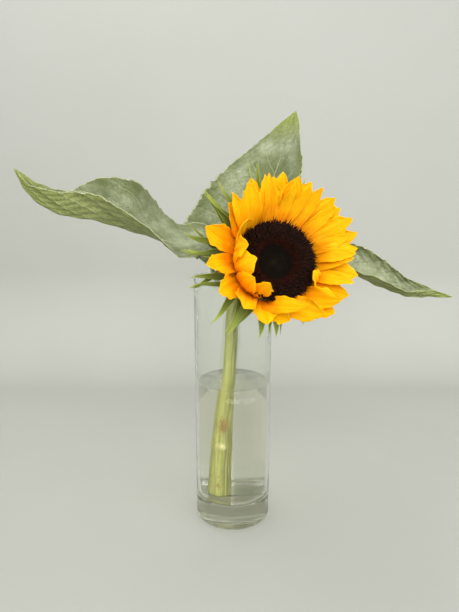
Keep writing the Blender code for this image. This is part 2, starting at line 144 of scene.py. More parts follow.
def smooth_curve(points, places):
    """A Catmull-Rom curve through points, read at places from 0 to 1.

    Between two knots p1 and p2 with neighbours p0 and p3 it is half of 2 p1 + (p2 - p0) t
    + (2 p0 - 5 p1 + 4 p2 - p3) t^2 + (3 p1 - p0 - 3 p2 + p3) t^3.
    """
    knots = np.array(points, float)
    knots = np.vstack([2 * knots[0] - knots[1], knots, 2 * knots[-1] - knots[-2]])
    spans = len(points) - 1
    scaled = np.clip(np.asarray(places, float), 0, 1) * spans
    first = np.minimum(scaled.astype(int), spans - 1)
    part = (scaled - first)[..., None]
    before, start, end, after = (knots[first + step] for step in range(4))
    return 0.5 * (
        2 * start
        + (end - before) * part
        + (2 * before - 5 * start + 4 * end - after) * part**2
        + (3 * start - before - 3 * end + after) * part**3
    )


def key_values(keys, places):
    """Values that pass smoothly through evenly spaced keys, read at places from 0 to 1."""
    flat = np.array([(value, 0.0, 0.0) for value in keys])
    return smooth_curve(flat, places)[..., 0]


def head_axes():
    """Right, up and outward unit vectors of the flower's face."""
    turn_c, turn_s = math.cos(HEAD_TURN), math.sin(HEAD_TURN)
    rise_c, rise_s = math.cos(HEAD_RISE), math.sin(HEAD_RISE)
    right = np.array([turn_c, turn_s, 0.0])
    upward = np.array([-turn_s * rise_s, turn_c * rise_s, rise_c])
    outward = np.array([turn_s * rise_c, -turn_c * rise_c, rise_s])
    return right, upward, outward


def on_head(points):
    """Points of the head's own frame, x to its right, y up its face and z outward, placed in space."""
    return HEAD_CENTRE + points @ np.stack(head_axes())


def arc(centre, rounding, first, last, steps):
    """Profile points of a circle arc round (radius, height), from the angle first to last in degrees."""
    angles = np.radians(np.linspace(first, last, steps + 1))
    return np.stack([centre[0] + rounding * np.cos(angles), centre[1] + rounding * np.sin(angles)], -1)


def turned(profile, sides=ROUND_SIDES):
    """A solid of revolution: x = r cos a, y = r sin a, z = h for each profile point (r, h).

    The first and last points of the profile lie on the axis and close the solid with fans.
    """
    profile = np.asarray(profile, float)
    radius, height = profile[1:-1].T
    angle = np.arange(sides) * TAU / sides
    rings = np.empty((len(radius), sides, 3))
    rings[..., 0] = radius[:, None] * np.cos(angle)
    rings[..., 1] = radius[:, None] * np.sin(angle)
    rings[..., 2] = height[:, None]
    ends = [[0.0, 0.0, profile[0, 1]]], [[0.0, 0.0, profile[-1, 1]]]
    points = np.concatenate([rings.reshape(-1, 3), *ends])
    return points, closed_rings(len(radius), sides)


def closed_rings(count, sides):
    """Faces of a closed skin over rings of points that are followed by a first and a last pole."""
    index = np.arange(count * sides).reshape(count, sides)
    ahead = np.roll(index, -1, axis=1)
    quads = np.stack([index[:-1], ahead[:-1], ahead[1:], index[1:]], -1).reshape(-1, 4)
    low = np.full(sides, count * sides)
    first = np.stack([low, ahead[0], index[0]], -1)
    last = np.stack([low + 1, index[-1], ahead[-1]], -1)
    return [quads, np.concatenate([first, last])]


def path_frames(path):
    """Side and other unit vectors across a path, carried along it without twisting, from +X."""
    tangent = unit(np.gradient(path, axis=0))
    side = np.empty_like(path)
    carried = np.array([1.0, 0.0, 0.0])
    for ring, direction in enumerate(tangent):
        carried = unit(carried - (carried @ direction) * direction)
        side[ring] = carried
    return side, np.cross(tangent, side)


def tube(path, radii, sides):
    """A closed tube: path point + radius (cos a side + sin a other), with a pole at each end."""
    side, other = path_frames(path)
    angle = np.arange(sides) * TAU / sides
    spread = np.cos(angle)[None, :, None] * side[:, None] + np.sin(angle)[None, :, None] * other[:, None]
    rings = path[:, None] + radii[..., None] * spread
    points = np.concatenate([rings.reshape(-1, 3), path[:1], path[-1:]])
    return points, closed_rings(len(path), sides), angle


def sheet(mid, above, below):
    """A thin closed solid round a grid: the upper skin lies above and the lower skin below it.

    Each skin is the grid moved along its normal, the cross product of its two directions. Returns the
    points, the faces and, for each face, 0 on the upper skin and 1 elsewhere.
    """
    normal = unit(np.cross(np.gradient(mid, axis=0), np.gradient(mid, axis=1)))
    rows, columns = mid.shape[:2]
    count = rows * columns
    index = np.arange(count).reshape(rows, columns)
    a, b, c, d = index[:-1, :-1], index[1:, :-1], index[1:, 1:], index[:-1, 1:]
    upper = np.stack([a, b, c, d], -1).reshape(-1, 4)
    lower = np.stack([a, d, c, b], -1).reshape(-1, 4) + count
    border = np.concatenate([index[:, 0], index[-1, 1:], index[-2::-1, -1], index[0, -2:0:-1]])
    ahead = np.roll(border, -1)
    rim = np.stack([ahead, border, border + count, ahead + count], -1)
    top = mid + np.broadcast_to(above, mid.shape[:2])[..., None] * normal
    bottom = mid - np.broadcast_to(below, mid.shape[:2])[..., None] * normal
    points = np.concatenate([top.reshape(-1, 3), bottom.reshape(-1, 3)])
    skin = np.concatenate([np.zeros(len(upper), int), np.ones(len(lower) + len(rim), int)])
    return points, [np.concatenate([upper, lower, rim])], skin


def grid_marks(along, across):
    """Pattern places (along, across) for both skins of a sheet over a grid."""
    marks = np.stack(np.broadcast_arrays(along[:, None], across[None, :]), -1).reshape(-1, 2)
    return np.concatenate([marks, marks])


def new_piece(name, points, faces, finishes, nodes=(), marks=None, skin=None):
    """One shown piece: its mesh, materials and pattern places, and the frame's nodes it stands for."""
    mesh = bpy.data.meshes.new(name)
    mesh.from_pydata(points.tolist(), [], [face for block in faces for face in block.tolist()])
    if marks is not None:
        corners = np.empty(len(mesh.loops), dtype=np.int32)
        mesh.loops.foreach_get("vertex_index", corners)
        layer = mesh.uv_layers.new(name="UVMap")
        layer.data.foreach_set("uv", marks[corners].astype(np.float32).ravel())
    for finish in finishes:
        mesh.materials.append(finish)
    if skin is not None:
        mesh.polygons.foreach_set("material_index", skin.astype(np.int32))
    mesh.shade_smooth()
    mesh.update()
    piece = bpy.data.objects.new(name, mesh)
    bpy.context.scene.collection.objects.link(piece)
    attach(piece, "root")
    if nodes:
        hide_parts(*nodes)
    return piece


# ---------------------------------------------------------------- node helpers


def tint(red, green, blue):
    """Linear colour of a display colour given from 0 to 255."""
    share = np.array([red, green, blue]) / 255
    linear = np.where(share <= 0.04045, share / 12.92, ((share + 0.055) / 1.055) ** 2.4)
    return (*linear.tolist(), 1.0)


def feed(tree, sockets, values):
    """Input sockets set to values or linked to other sockets."""
    for key, value in dict(values).items():
        if isinstance(value, bpy.types.NodeSocket):
            tree.links.new(value, sockets[key])
        else:
            sockets[key].default_value = value


def node(tree, kind, inputs=(), **settings):
    """A node with its settings, its inputs given as values or linked to sockets."""
    made = tree.nodes.new(kind)
    for key, value in settings.items():
        setattr(made, key, value)
    feed(tree, made.inputs, inputs)
    return made


def maths(tree, operation, *values, clamp=False):
    """Result of a Math node."""
    made = node(tree, "ShaderNodeMath", dict(enumerate(values)), operation=operation, use_clamp=clamp)
    return made.outputs[0]


def times(tree, first, second):
    """Product of two values."""
    return maths(tree, "MULTIPLY", first, second)


def parts_of(tree, vector):
    """The x, y and z of a vector."""
    return node(tree, "ShaderNodeSeparateXYZ", {0: vector}).outputs


def mixed(tree, factor, low, high):
    """Colour between low and high at a factor."""
    return node(tree, "ShaderNodeMix", {0: factor, 6: low, 7: high}, data_type="RGBA").outputs[2]


def spread(tree, value, low, high, start=0.0, end=1.0):
    """A value's smooth rise from start to end while it runs from low to high."""
    inputs = {"Value": value, "From Min": low, "From Max": high, "To Min": start, "To Max": end}
    return node(tree, "ShaderNodeMapRange", inputs, interpolation_type="SMOOTHSTEP").outputs[0]


def ramp(tree, factor, *stops):
    """Colour of a ramp with stops of (place, colour)."""
    made = node(tree, "ShaderNodeValToRGB", {0: factor})
    elements = made.color_ramp.elements
    while len(elements) < len(stops):
        elements.new(0.5)
    for element, (place, colour) in zip(elements, stops):
        element.position = place
        element.color = colour
    return made.outputs[0]


def noise(tree, vector, scale, detail=3.0, roughness=0.5):
    """Value of a cloudy noise."""
    inputs = {"Vector": vector, "Scale": scale, "Detail": detail, "Roughness": roughness}
    return node(tree, "ShaderNodeTexNoise", inputs).outputs[0]


def scaled(tree, vector, x, y, z=1.0):
    """A vector with each part multiplied."""
    inputs = {0: vector, 1: (x, y, z)}
    return node(tree, "ShaderNodeVectorMath", inputs, operation="MULTIPLY").outputs[0]


def new_material(name):
    """A material with its tree, its Principled shader, its output and its coordinates."""
    made = bpy.data.materials.new(name)
    made.use_nodes = True
    tree = made.node_tree
    tree.nodes.clear()
    shader = node(tree, "ShaderNodeBsdfPrincipled")
    output = node(tree, "ShaderNodeOutputMaterial", {"Surface": shader.outputs[0]})
    return made, tree, shader, output, node(tree, "ShaderNodeTexCoord").outputs


def set_shader(tree, shader, **values):
    """Shader inputs set to values or linked to sockets; a name's underscores stand for spaces."""
    feed(tree, shader.inputs, {key.replace("_", " "): value for key, value in values.items()})


def bumped(tree, height, distance, strength=1.0):
    """Normal that a height gives, at a real height in metres."""
    inputs = {"Height": height, "Distance": distance, "Strength": strength}
    return node(tree, "ShaderNodeBump", inputs).outputs[0]


def group(name, inputs, outputs, build):
    """A node group with named sockets; build makes its nodes and returns a socket for each output."""
    tree = bpy.data.node_groups.new(name, "ShaderNodeTree")
    for label, kind, value in inputs:
        socket = tree.interface.new_socket(name=label, in_out="INPUT", socket_type=kind)
        if value is not None:
            socket.default_value = value
    for label in outputs:
        tree.interface.new_socket(name=label, in_out="OUTPUT", socket_type="NodeSocketFloat")
    start = node(tree, "NodeGroupInput")
    end = node(tree, "NodeGroupOutput")
    for socket, label in zip(build(tree, start.outputs), outputs):
        tree.links.new(socket, end.inputs[label])
    return tree


def fibre_nodes(tree, given):
    """Lengthwise streaks: noise drawn out along the piece, in two widths."""
    place = parts_of(tree, given["Place"])
    along = times(tree, place[0], given["Stretch"])
    across = times(tree, place[1], given["Count"])
    broad = node(tree, "ShaderNodeCombineXYZ", {0: along, 1: across, 2: given["Seed"]}).outputs[0]
    coarse = noise(tree, broad, 1.0, 2.0)
    fine = noise(tree, scaled(tree, broad, 1.7, 3.3), 1.0, 2.0, 0.6)
    return [maths(tree, "ADD", times(tree, coarse, 0.6), times(tree, fine, 0.4))]


def blotch_nodes(tree, given):
    """Soft blotches and small specks on the piece's own coordinates."""
    patches = noise(tree, given["Place"], given["Patch scale"], 4.0, 0.6)
    specks = noise(tree, given["Place"], given["Speck scale"], 2.0, 0.5)
    return [spread(tree, patches, 0.35, 0.65), spread(tree, specks, 0.62, 0.74)]


def vein_nodes(tree, given):
    """Veins of a leaf blade: the midrib, side veins that leave it forwards, and a fine net.

    A side vein is where (along - slope * reach^0.85) * count is near a whole number, with the two
    halves half a step apart; reach is the distance from the midrib as a share of the half-width.
    """
    place = parts_of(tree, given["Marks"])
    across = maths(tree, "MULTIPLY_ADD", place[1], 2.0, -1.0)
    reach = maths(tree, "ABSOLUTE", across)
    wobble = maths(tree, "MULTIPLY_ADD", noise(tree, given["Place"], 45.0, 2.0), 0.05, -0.025)
    bent = times(tree, maths(tree, "POWER", reach, 0.85), given["Slope"])
    line = maths(tree, "ADD", maths(tree, "SUBTRACT", place[0], bent), wobble)
    half = times(tree, maths(tree, "GREATER_THAN", across, 0.0), 0.5)
    turns = maths(tree, "MULTIPLY_ADD", line, given["Count"], half)
    near = maths(tree, "PINGPONG", turns, 0.5)
    width = maths(tree, "MULTIPLY_ADD", reach, -0.035, 0.075)
    side = spread(tree, maths(tree, "DIVIDE", near, width), 0.35, 1.0, 1.0, 0.0)
    rib_width = maths(tree, "MULTIPLY_ADD", place[0], -0.020, 0.034)
    rib = spread(tree, maths(tree, "DIVIDE", reach, rib_width), 0.5, 1.0, 1.0, 0.0)
    inputs = {"Vector": given["Place"], "Scale": 230.0}
    cells = node(tree, "ShaderNodeTexVoronoi", inputs, feature="DISTANCE_TO_EDGE")
    small = spread(tree, cells.outputs[0], 0.02, 0.10, 1.0, 0.0)
    return [rib, side, small, times(tree, near, 2.0)]


FLOAT, VECTOR = "NodeSocketFloat", "NodeSocketVector"
FIBRES = group(
    "lengthwise_fibres",
    [("Place", VECTOR, None), ("Stretch", FLOAT, 2.0), ("Count", FLOAT, 20.0), ("Seed", FLOAT, 0.0)],
    ["Streak"],
    fibre_nodes,
)
BLOTCHES = group(
    "blotches_and_specks",
    [("Place", VECTOR, None), ("Patch scale", FLOAT, 60.0), ("Speck scale", FLOAT, 500.0)],
    ["Patch", "Speck"],
    blotch_nodes,
)
VEINS = group(
    "blade_veins",
    [("Marks", VECTOR, None), ("Place", VECTOR, None), ("Count", FLOAT, 9.0), ("Slope", FLOAT, 0.22)],
    ["Midrib", "Side", "Net", "Between"],
    vein_nodes,
)


def fed(tree, made_group, inputs):
    """Outputs of a group node whose inputs are values or sockets."""
    made = tree.nodes.new("ShaderNodeGroup")
    made.node_tree = made_group
    feed(tree, made.inputs, inputs)
    return made.outputs


def blotches(tree, place, patch, speck):
    """Patch and speck masks on the piece's own coordinates at two scales."""
    return fed(tree, BLOTCHES, {"Place": place["Object"], "Patch scale": patch, "Speck scale": speck})


def margin_reach(tree, across):
    """Distance from the middle line, 0 there and 1 at the margins, of a place across from 0 to 1."""
    return maths(tree, "ABSOLUTE", maths(tree, "MULTIPLY_ADD", across, 2.0, -1.0))


def show(tree, output, share, near, far):
    """The surface as a mix of two shaders: near at share 0, far at share 1."""
    both = node(tree, "ShaderNodeMixShader", {0: share, 1: near.outputs[0], 2: far.outputs[0]})
    tree.links.new(both.outputs[0], output.inputs["Surface"])


def let_lamps_through(tree, shader, output, shade, escape):
    """Clear shader for all but shadow rays, which a pale transparent shader lets through.

    The escape is the share of the light inside that leaves straight through the skin.
    """
    rays = node(tree, "ShaderNodeLightPath").outputs["Is Shadow Ray"]
    inner = node(tree, "ShaderNodeNewGeometry").outputs["Backfacing"]
    rays = maths(tree, "MAXIMUM", rays, times(tree, inner, escape))
    show(tree, output, rays, shader, node(tree, "ShaderNodeBsdfTransparent", {0: shade}))


def let_light_glow(tree, shader, output, colour, share, normal):
    """A thin living sheet: part of the light that falls on the far side glows through."""
    glow = node(tree, "ShaderNodeBsdfTranslucent", {"Color": colour, "Normal": normal})
    show(tree, output, share, shader, glow)


# ---------------------------------------------------------------- finishes


def glass_finish():
    """Clear pressed glass: faint waves from its making, a few fine smears on its skin, and a darker
    grey-green foot that is partly the thick glass's own tint and partly painted shade.
    """
    made, tree, shader, output, place = new_material("clear_glass")
    waves = noise(tree, scaled(tree, place["Object"], 1.0, 1.0, 0.35), 38.0, 2.0)
    smears = spread(tree, noise(tree, place["Object"], 120.0, 4.0, 0.6), 0.55, 0.80, 0.0, 0.05)
    level = parts_of(tree, place["Object"])[2]
    # The thick foot is tinted darker grey-green: partly the glass's own tint, partly painted shade.
    thick = spread(tree, level, FLOOR_HEIGHT, FLOOR_HEIGHT + 0.004, 1.0, 0.0)
    clear = mixed(tree, waves, tint(249, 251, 247), tint(252, 253, 250))
    set_shader(
        tree,
        shader,
        Base_Color=mixed(tree, thick, clear, tint(172, 174, 154)),
        Roughness=smears,
        IOR=GLASS_INDEX,
        Transmission_Weight=1.0,
        Normal=bumped(tree, waves, 0.00012),
    )
    dry = spread(tree, level, WATER_LEVEL, WATER_LEVEL + 0.004, 0.0, GLASS_ESCAPE)
    let_lamps_through(tree, shader, output, (0.93, 0.96, 0.94, 1.0), dry)
    return made


def water_finish():
    """Still water, very slightly green from the stem that stands in it."""
    made, tree, shader, output, place = new_material("still_water")
    drift = noise(tree, place["Object"], 25.0, 2.0)
    set_shader(
        tree,
        shader,
        Base_Color=mixed(tree, drift, tint(247, 242, 230), tint(250, 246, 237)),
        Roughness=0.0,
        IOR=WATER_INDEX,
        Transmission_Weight=1.0,
        Normal=bumped(tree, drift, 0.00006),
    )
    let_lamps_through(tree, shader, output, (0.97, 0.985, 0.97, 1.0), WATER_ESCAPE)
    return made


def stem_finish():
    """Stem skin: pale ridges, a right side painted darker olive as painted shade, lengthwise fibres, an old
    leaf scar and brown stains.
    """
    made, tree, shader, _, place = new_material("stem_skin")
    marks = place["UV"]
    streak = fed(tree, FIBRES, {"Place": marks, "Stretch": 9.0, "Count": 34.0, "Seed": 1.0})["Streak"]
    blotch = blotches(tree, place, 45.0, 420.0)
    parts = parts_of(tree, marks)
    # Painted shade: the stem is painted darker olive on its right side, away from the light, and paler on
    # its left.
    around = maths(tree, "COSINE", times(tree, parts[1], TAU))
    painted_shade_side = spread(tree, around, -0.35, 0.45)
    green = mixed(tree, painted_shade_side, tint(158, 158, 80), tint(96, 96, 34))
    green = mixed(tree, spread(tree, streak, 0.46, 0.64, 0.0, 0.60), green, tint(184, 184, 118))
    green = mixed(tree, spread(tree, streak, 0.30, 0.46, 0.55, 0.0), green, tint(86, 84, 30))
    green = mixed(tree, times(tree, blotch["Patch"], 0.20), green, tint(98, 104, 40))
    coarse = noise(tree, scaled(tree, marks, 90.0, 60.0), 1.0, 3.0, 0.7)
    ragged = spread(tree, coarse, 0.35, 0.65, -0.25, 0.75)
    stain = scar_mask(tree, parts, ragged, STEM_STAIN, 0.024, 0.10)
    brown = maths(tree, "ADD", stain, blotch["Speck"], clamp=True)
    foot = scar_mask(tree, parts, ragged, STEM_SPOT, 0.010, 0.035)
    broken = spread(tree, streak, 0.36, 0.56, 0.45, 1.0)
    brown = times(tree, maths(tree, "MAXIMUM", brown, foot), broken)
    green = mixed(tree, brown, green, tint(118, 78, 0))
    pale = scar_mask(tree, parts, ragged, STEM_SCAR, 0.011, 0.10)
    green = mixed(tree, times(tree, pale, 0.75), green, tint(198, 190, 136))
    height = maths(tree, "ADD", streak, times(tree, blotch["Patch"], 0.3))
    set_shader(
        tree,
        shader,
        Base_Color=green,
        Roughness=spread(tree, streak, 0.3, 0.7, 0.42, 0.60),
        Subsurface_Weight=0.06,
        Subsurface_Radius=(0.6, 0.8, 0.3),
        Subsurface_Scale=0.002,
        Normal=bumped(tree, height, 0.0005),
    )
    return made


def scar_mask(tree, parts, ragged, centre, length, width):
    """One ragged oval on the stem: 1 at the centre (along, angle), 0 past its length and width.

    Its edge is where sqrt((along / length)^2 + (around / width)^2) + ragged runs from 0.7 to 1.25.
    """
    turn = (centre[1] / TAU) % 1.0
    along = maths(tree, "DIVIDE", maths(tree, "SUBTRACT", parts[0], centre[0]), length)
    around = maths(tree, "DIVIDE", maths(tree, "SUBTRACT", parts[1], turn), width)
    squares = [maths(tree, "POWER", value, 2.0) for value in (along, around)]
    apart = maths(tree, "SQRT", maths(tree, "ADD", *squares))
    return spread(tree, maths(tree, "ADD", apart, ragged), 0.7, 1.25, 1.0, 0.0)


def petal_finish(name, root, lower, upper):
    """One face of a ray floret: deep orange at the root, partly its own colour and partly painted shade
    where the petals meet the seed head, golden outwards, veined, with a satin sheen.
    """
    made, tree, shader, output, place = new_material(name)
    marks = place["UV"]
    parts = parts_of(tree, marks)
    along = maths(tree, "FRACT", parts[0])
    streak = fed(tree, FIBRES, {"Place": marks, "Stretch": 1.1, "Count": 13.0, "Seed": 4.0})["Streak"]
    blotch = blotches(tree, place, 42.0, 700.0)
    # The deep orange at the root is partly the petal's own colour and partly painted shade where the petals
    # crowd against the seed head.
    yellow = ramp(
        tree,
        along,
        (0.0, root),
        (0.25, lower),
        (0.55, upper),
        (1.0, tint(255, 198, 2)),
    )
    yellow = mixed(tree, spread(tree, streak, 0.44, 0.62, 0.0, 0.45), yellow, tint(238, 142, 1))
    yellow = mixed(tree, times(tree, blotch["Patch"], 0.35), yellow, tint(255, 210, 4))
    yellow = mixed(tree, times(tree, blotch["Speck"], 0.10), yellow, tint(200, 110, 8))
    normal = bumped(tree, streak, 0.0007)
    set_shader(
        tree,
        shader,
        Base_Color=yellow,
        Roughness=spread(tree, streak, 0.3, 0.7, 0.50, 0.66),
        Specular_IOR_Level=0.16,
        Sheen_Weight=0.05,
        Sheen_Roughness=0.4,
        Sheen_Tint=tint(255, 214, 60),
        Normal=normal,
    )
    let_light_glow(tree, shader, output, yellow, 0.15, normal)
    return made


def blade_finish(name, dark, light, vein, edge, under):
    """Leaf skin on one side: green mottled with pale blotches that are partly dusty bloom and partly painted
    sheen, paler veins, a darker border and a pale thin margin.
    """
    made, tree, shader, output, place = new_material(name)
    inputs = {"Marks": place["UV"], "Place": place["Object"], "Count": SIDE_VEINS, "Slope": VEIN_SLOPE}
    veins = fed(tree, VEINS, inputs)
    blotch = blotches(tree, place, 26.0, 260.0)
    cloud = noise(tree, place["Object"], 90.0, 5.0, 0.65)
    # The pale blotch colour is partly the leaf's dusty bloom and partly painted sheen.
    green = mixed(tree, blotch["Patch"], dark, light)
    green = mixed(tree, spread(tree, cloud, 0.35, 0.70, 0.0, 0.55), green, dark)
    green = mixed(tree, times(tree, veins["Net"], 0.16), green, vein)
    line = maths(tree, "MAXIMUM", veins["Midrib"], times(tree, veins["Side"], 0.45))
    green = mixed(tree, line, green, vein)
    marks = parts_of(tree, place["UV"])
    reach = margin_reach(tree, marks[1])
    green = mixed(tree, spread(tree, reach, 0.62, 0.92, 0.0, 0.55), green, edge)
    green = mixed(tree, spread(tree, marks[0], 0.74, 1.0, 0.0, 0.80), green, tint(150, 160, 62))
    green = mixed(tree, spread(tree, reach, 0.965, 0.99, 0.0, 0.75), green, tint(204, 206, 160))
    raised = 1.0 if under else -1.0
    net = maths(tree, "ADD", line, times(tree, veins["Net"], 0.4))
    height = times(tree, net, raised)
    height = maths(tree, "ADD", height, times(tree, cloud, 0.8))
    normal = bumped(tree, height, 0.0011)
    set_shader(
        tree,
        shader,
        Base_Color=green,
        Roughness=spread(tree, cloud, 0.3, 0.7, 0.50, 0.72),
        Sheen_Weight=0.12 if under else 0.30,
        Sheen_Roughness=0.5,
        Sheen_Tint=tint(214, 222, 204),
        Normal=normal,
    )
    glow = mixed(tree, 0.45, green, tint(178, 190, 60))
    let_light_glow(tree, shader, output, glow, 0.18, normal)
    return made


def bract_finish():
    """Bract skin: fresh green with pale downy margins, painted darker towards the root as painted shade
    under the head.
    """
    made, tree, shader, output, place = new_material("bract_green")
    marks = place["UV"]
    parts = parts_of(tree, marks)
    streak = fed(tree, FIBRES, {"Place": marks, "Stretch": 2.0, "Count": 14.0, "Seed": 9.0})["Streak"]
    blotch = blotches(tree, place, 70.0, 600.0)
    reach = margin_reach(tree, parts[1])
    # Painted shade: the ramp darkens each bract towards its root, where it lies in shade under the head.
    green = ramp(
        tree,
        parts[0],
        (0.0, tint(62, 78, 24)),
        (0.40, tint(98, 118, 38)),
        (0.70, tint(142, 158, 52)),
        (1.0, tint(188, 200, 70)),
    )
    green = mixed(tree, spread(tree, streak, 0.4, 0.7, 0.0, 0.5), green, tint(126, 144, 52))
    green = mixed(tree, times(tree, blotch["Patch"], 0.3), green, tint(84, 102, 36))
    green = mixed(tree, spread(tree, reach, 0.78, 1.0, 0.0, 0.45), green, tint(176, 188, 88))
    normal = bumped(tree, streak, 0.0005)
    set_shader(
        tree,
        shader,
        Base_Color=green,
        Roughness=spread(tree, streak, 0.3, 0.7, 0.52, 0.70),
        Sheen_Weight=0.25,
        Sheen_Roughness=0.5,
        Sheen_Tint=tint(220, 226, 190),
        Normal=normal,
    )
    let_light_glow(tree, shader, output, green, 0.22, normal)
    return made


def floret_finish():
    """Seed head: greenish black buds in the middle, then a red-brown zone and dark spiky florets."""
    made, tree, shader, _, place = new_material("seed_brown")
    parts = parts_of(tree, place["UV"])
    blotch = blotches(tree, place, 130.0, 900.0)
    root = ramp(
        tree,
        parts[0],
        (0.0, tint(20, 15, 8)),
        (0.44, tint(12, 8, 4)),
        (0.52, tint(24, 9, 5)),
        (0.75, tint(14, 7, 4)),
        (1.0, tint(10, 5, 3)),
    )
    tip = ramp(
        tree,
        parts[0],
        (0.0, tint(76, 62, 38)),
        (0.10, tint(38, 30, 18)),
        (0.44, tint(30, 21, 13)),
        (0.52, tint(84, 28, 13)),
        (0.62, tint(54, 26, 14)),
        (1.0, tint(46, 22, 12)),
    )
    brown = mixed(tree, spread(tree, parts[1], 0.35, 1.0), root, tip)
    brown = mixed(tree, times(tree, blotch["Patch"], 0.35), brown, tint(20, 12, 8))
    set_shader(
        tree,
        shader,
        Base_Color=brown,
        Roughness=spread(tree, blotch["Patch"], 0.0, 1.0, 0.62, 0.82),
        Specular_IOR_Level=0.10,
        Normal=bumped(tree, blotch["Speck"], 0.0002),
    )
    return made


def floor_finish():
    """Pale plaster-like table top with soft clouds, clear when it is seen from behind."""
    made, tree, shader, output, place = new_material("pale_table")
    cloud = noise(tree, place["Object"], 3.0, 6.0, 0.6)
    grain = noise(tree, place["Object"], 260.0, 3.0)
    set_shader(
        tree,
        shader,
        Base_Color=mixed(tree, cloud, tint(163, 163, 154), tint(171, 171, 164)),
        Roughness=0.75,
        Normal=bumped(tree, grain, 0.0002, 0.4),
    )
    side = node(tree, "ShaderNodeNewGeometry").outputs["Backfacing"]
    show(tree, output, side, shader, node(tree, "ShaderNodeBsdfTransparent"))
    return made


# ---------------------------------------------------------------- vase and water


def inner_radius(height):
    """Inside radius of the vase at a height."""
    return FOOT_RADIUS + (RIM_RADIUS - FOOT_RADIUS) * height / VASE_HEIGHT - WALL


def make_vase(finish):
    """The glass: a turned profile of foot, wall, lip, inner wall and inner floor, all rounded.

    The foot has a shallow hollow underneath, so that it stands on a ring as pressed glass does.
    """
    lip = WALL / 2
    inner = inner_radius(FLOOR_HEIGHT)
    ring = FOOT_RADIUS - FOOT_ROUNDING
    profile = np.concatenate(
        [
            [(0, 0.0011), (0.012, 0.0010), (0.022, 0.0007), (ring - 0.005, 0.0002), (ring - 0.002, 0.0)],
            arc((ring, FOOT_ROUNDING), FOOT_ROUNDING, -90, 0, 10),
            [(FOOT_RADIUS + 0.0002, 0.05), (FOOT_RADIUS + 0.00045, 0.15)],
            arc((RIM_RADIUS - lip, VASE_HEIGHT - lip), lip, 0, 180, 14),
            [(inner_radius(0.15), 0.15), (inner_radius(0.05), 0.05)],
            arc((inner - FLOOR_ROUNDING, FLOOR_HEIGHT + FLOOR_ROUNDING), FLOOR_ROUNDING, 360, 270, 10),
            [(0.020, FLOOR_HEIGHT + 0.0002), (0.008, FLOOR_HEIGHT + 0.0006), (0, FLOOR_HEIGHT + 0.0007)],
        ]
    )
    points, faces = turned(profile)
    new_piece("vase_glass", points, faces, [finish], ["vase"])


def make_water(finish):
    """The water: one closed body that the stem stands in, with a surface that rises to wall and stem.

    Surface height = level + meniscus e^(-gap to wall) + meniscus e^(-gap to stem), with each gap
    measured in the distance over which the meniscus falls.
    """
    corner = inner_radius(FLOOR_HEIGHT) + CLING
    low = FLOOR_HEIGHT - CLING
    wall = np.linspace(FLOOR_HEIGHT + FLOOR_ROUNDING, WATER_LEVEL + MENISCUS, 8)
    top = inner_radius(WATER_LEVEL) + CLING
    inward = top * (1 - np.linspace(0, 1, 60) ** 1.6)[1:-1]
    profile = np.concatenate(
        [
            [(0, low), (0.020, low)],
            arc((corner - FLOOR_ROUNDING, low + FLOOR_ROUNDING), FLOOR_ROUNDING, 270, 360, 8),
            np.stack([inner_radius(wall) + CLING, wall], -1)[1:],
            np.stack([inward, WATER_LEVEL + MENISCUS * np.exp(-(top - inward) / MENISCUS_FALL)], -1),
            [(0, WATER_LEVEL)],
        ]
    )
    points, faces = turned(profile, 128)
    path = stem_path(np.linspace(0, 1, 400))
    crossing = path[np.argmin(np.abs(path[:, 2] - WATER_LEVEL))]
    surface = points[:, 2] >= WATER_LEVEL - 0.00001
    gap = np.linalg.norm(points[:, :2] - crossing[:2], axis=1) - STEM_RADIUS
    points[surface, 2] += MENISCUS * np.exp(-np.maximum(gap[surface], 0) / MENISCUS_FALL)
    new_piece("vase_water", points, faces, [finish], ["water"])


# ---------------------------------------------------------------- stem


def stem_path(places):
    """Axis of the stem: up through the water, out over the front of the rim and into the head's back."""
    outward = head_axes()[2]
    joint = HEAD_CENTRE - (RECEPTACLE_BACK + GAP) * outward
    points = [
        (-0.0108, -0.0010, FLOOR_HEIGHT + GAP),
        (-0.0092, 0.0015, 0.0650),
        (-0.0070, 0.0022, 0.1070),
        (-0.0042, 0.0015, 0.1490),
        (-0.0018, -0.0020, 0.1900),
        (0.0000, -0.0060, 0.2220),
        (0.0065, -0.0085, 0.2470),
        (0.0180, -0.0115, 0.2620),
        tuple(joint - 0.010 * outward),
        tuple(joint),
    ]
    return smooth_curve(points, places)


def stem_radii(places):
    """Stem radius along its length: stout at the foot, then even, then slimmer at the neck."""
    share = np.clip((places - SLIMMING[0]) / (SLIMMING[1] - SLIMMING[0]), 0, 1)
    foot = FOOT_SWELLING * np.clip(1 - places / FOOT_SHARE, 0, 1)
    return STEM_RADIUS + (NECK_RADIUS - STEM_RADIUS) * share + foot


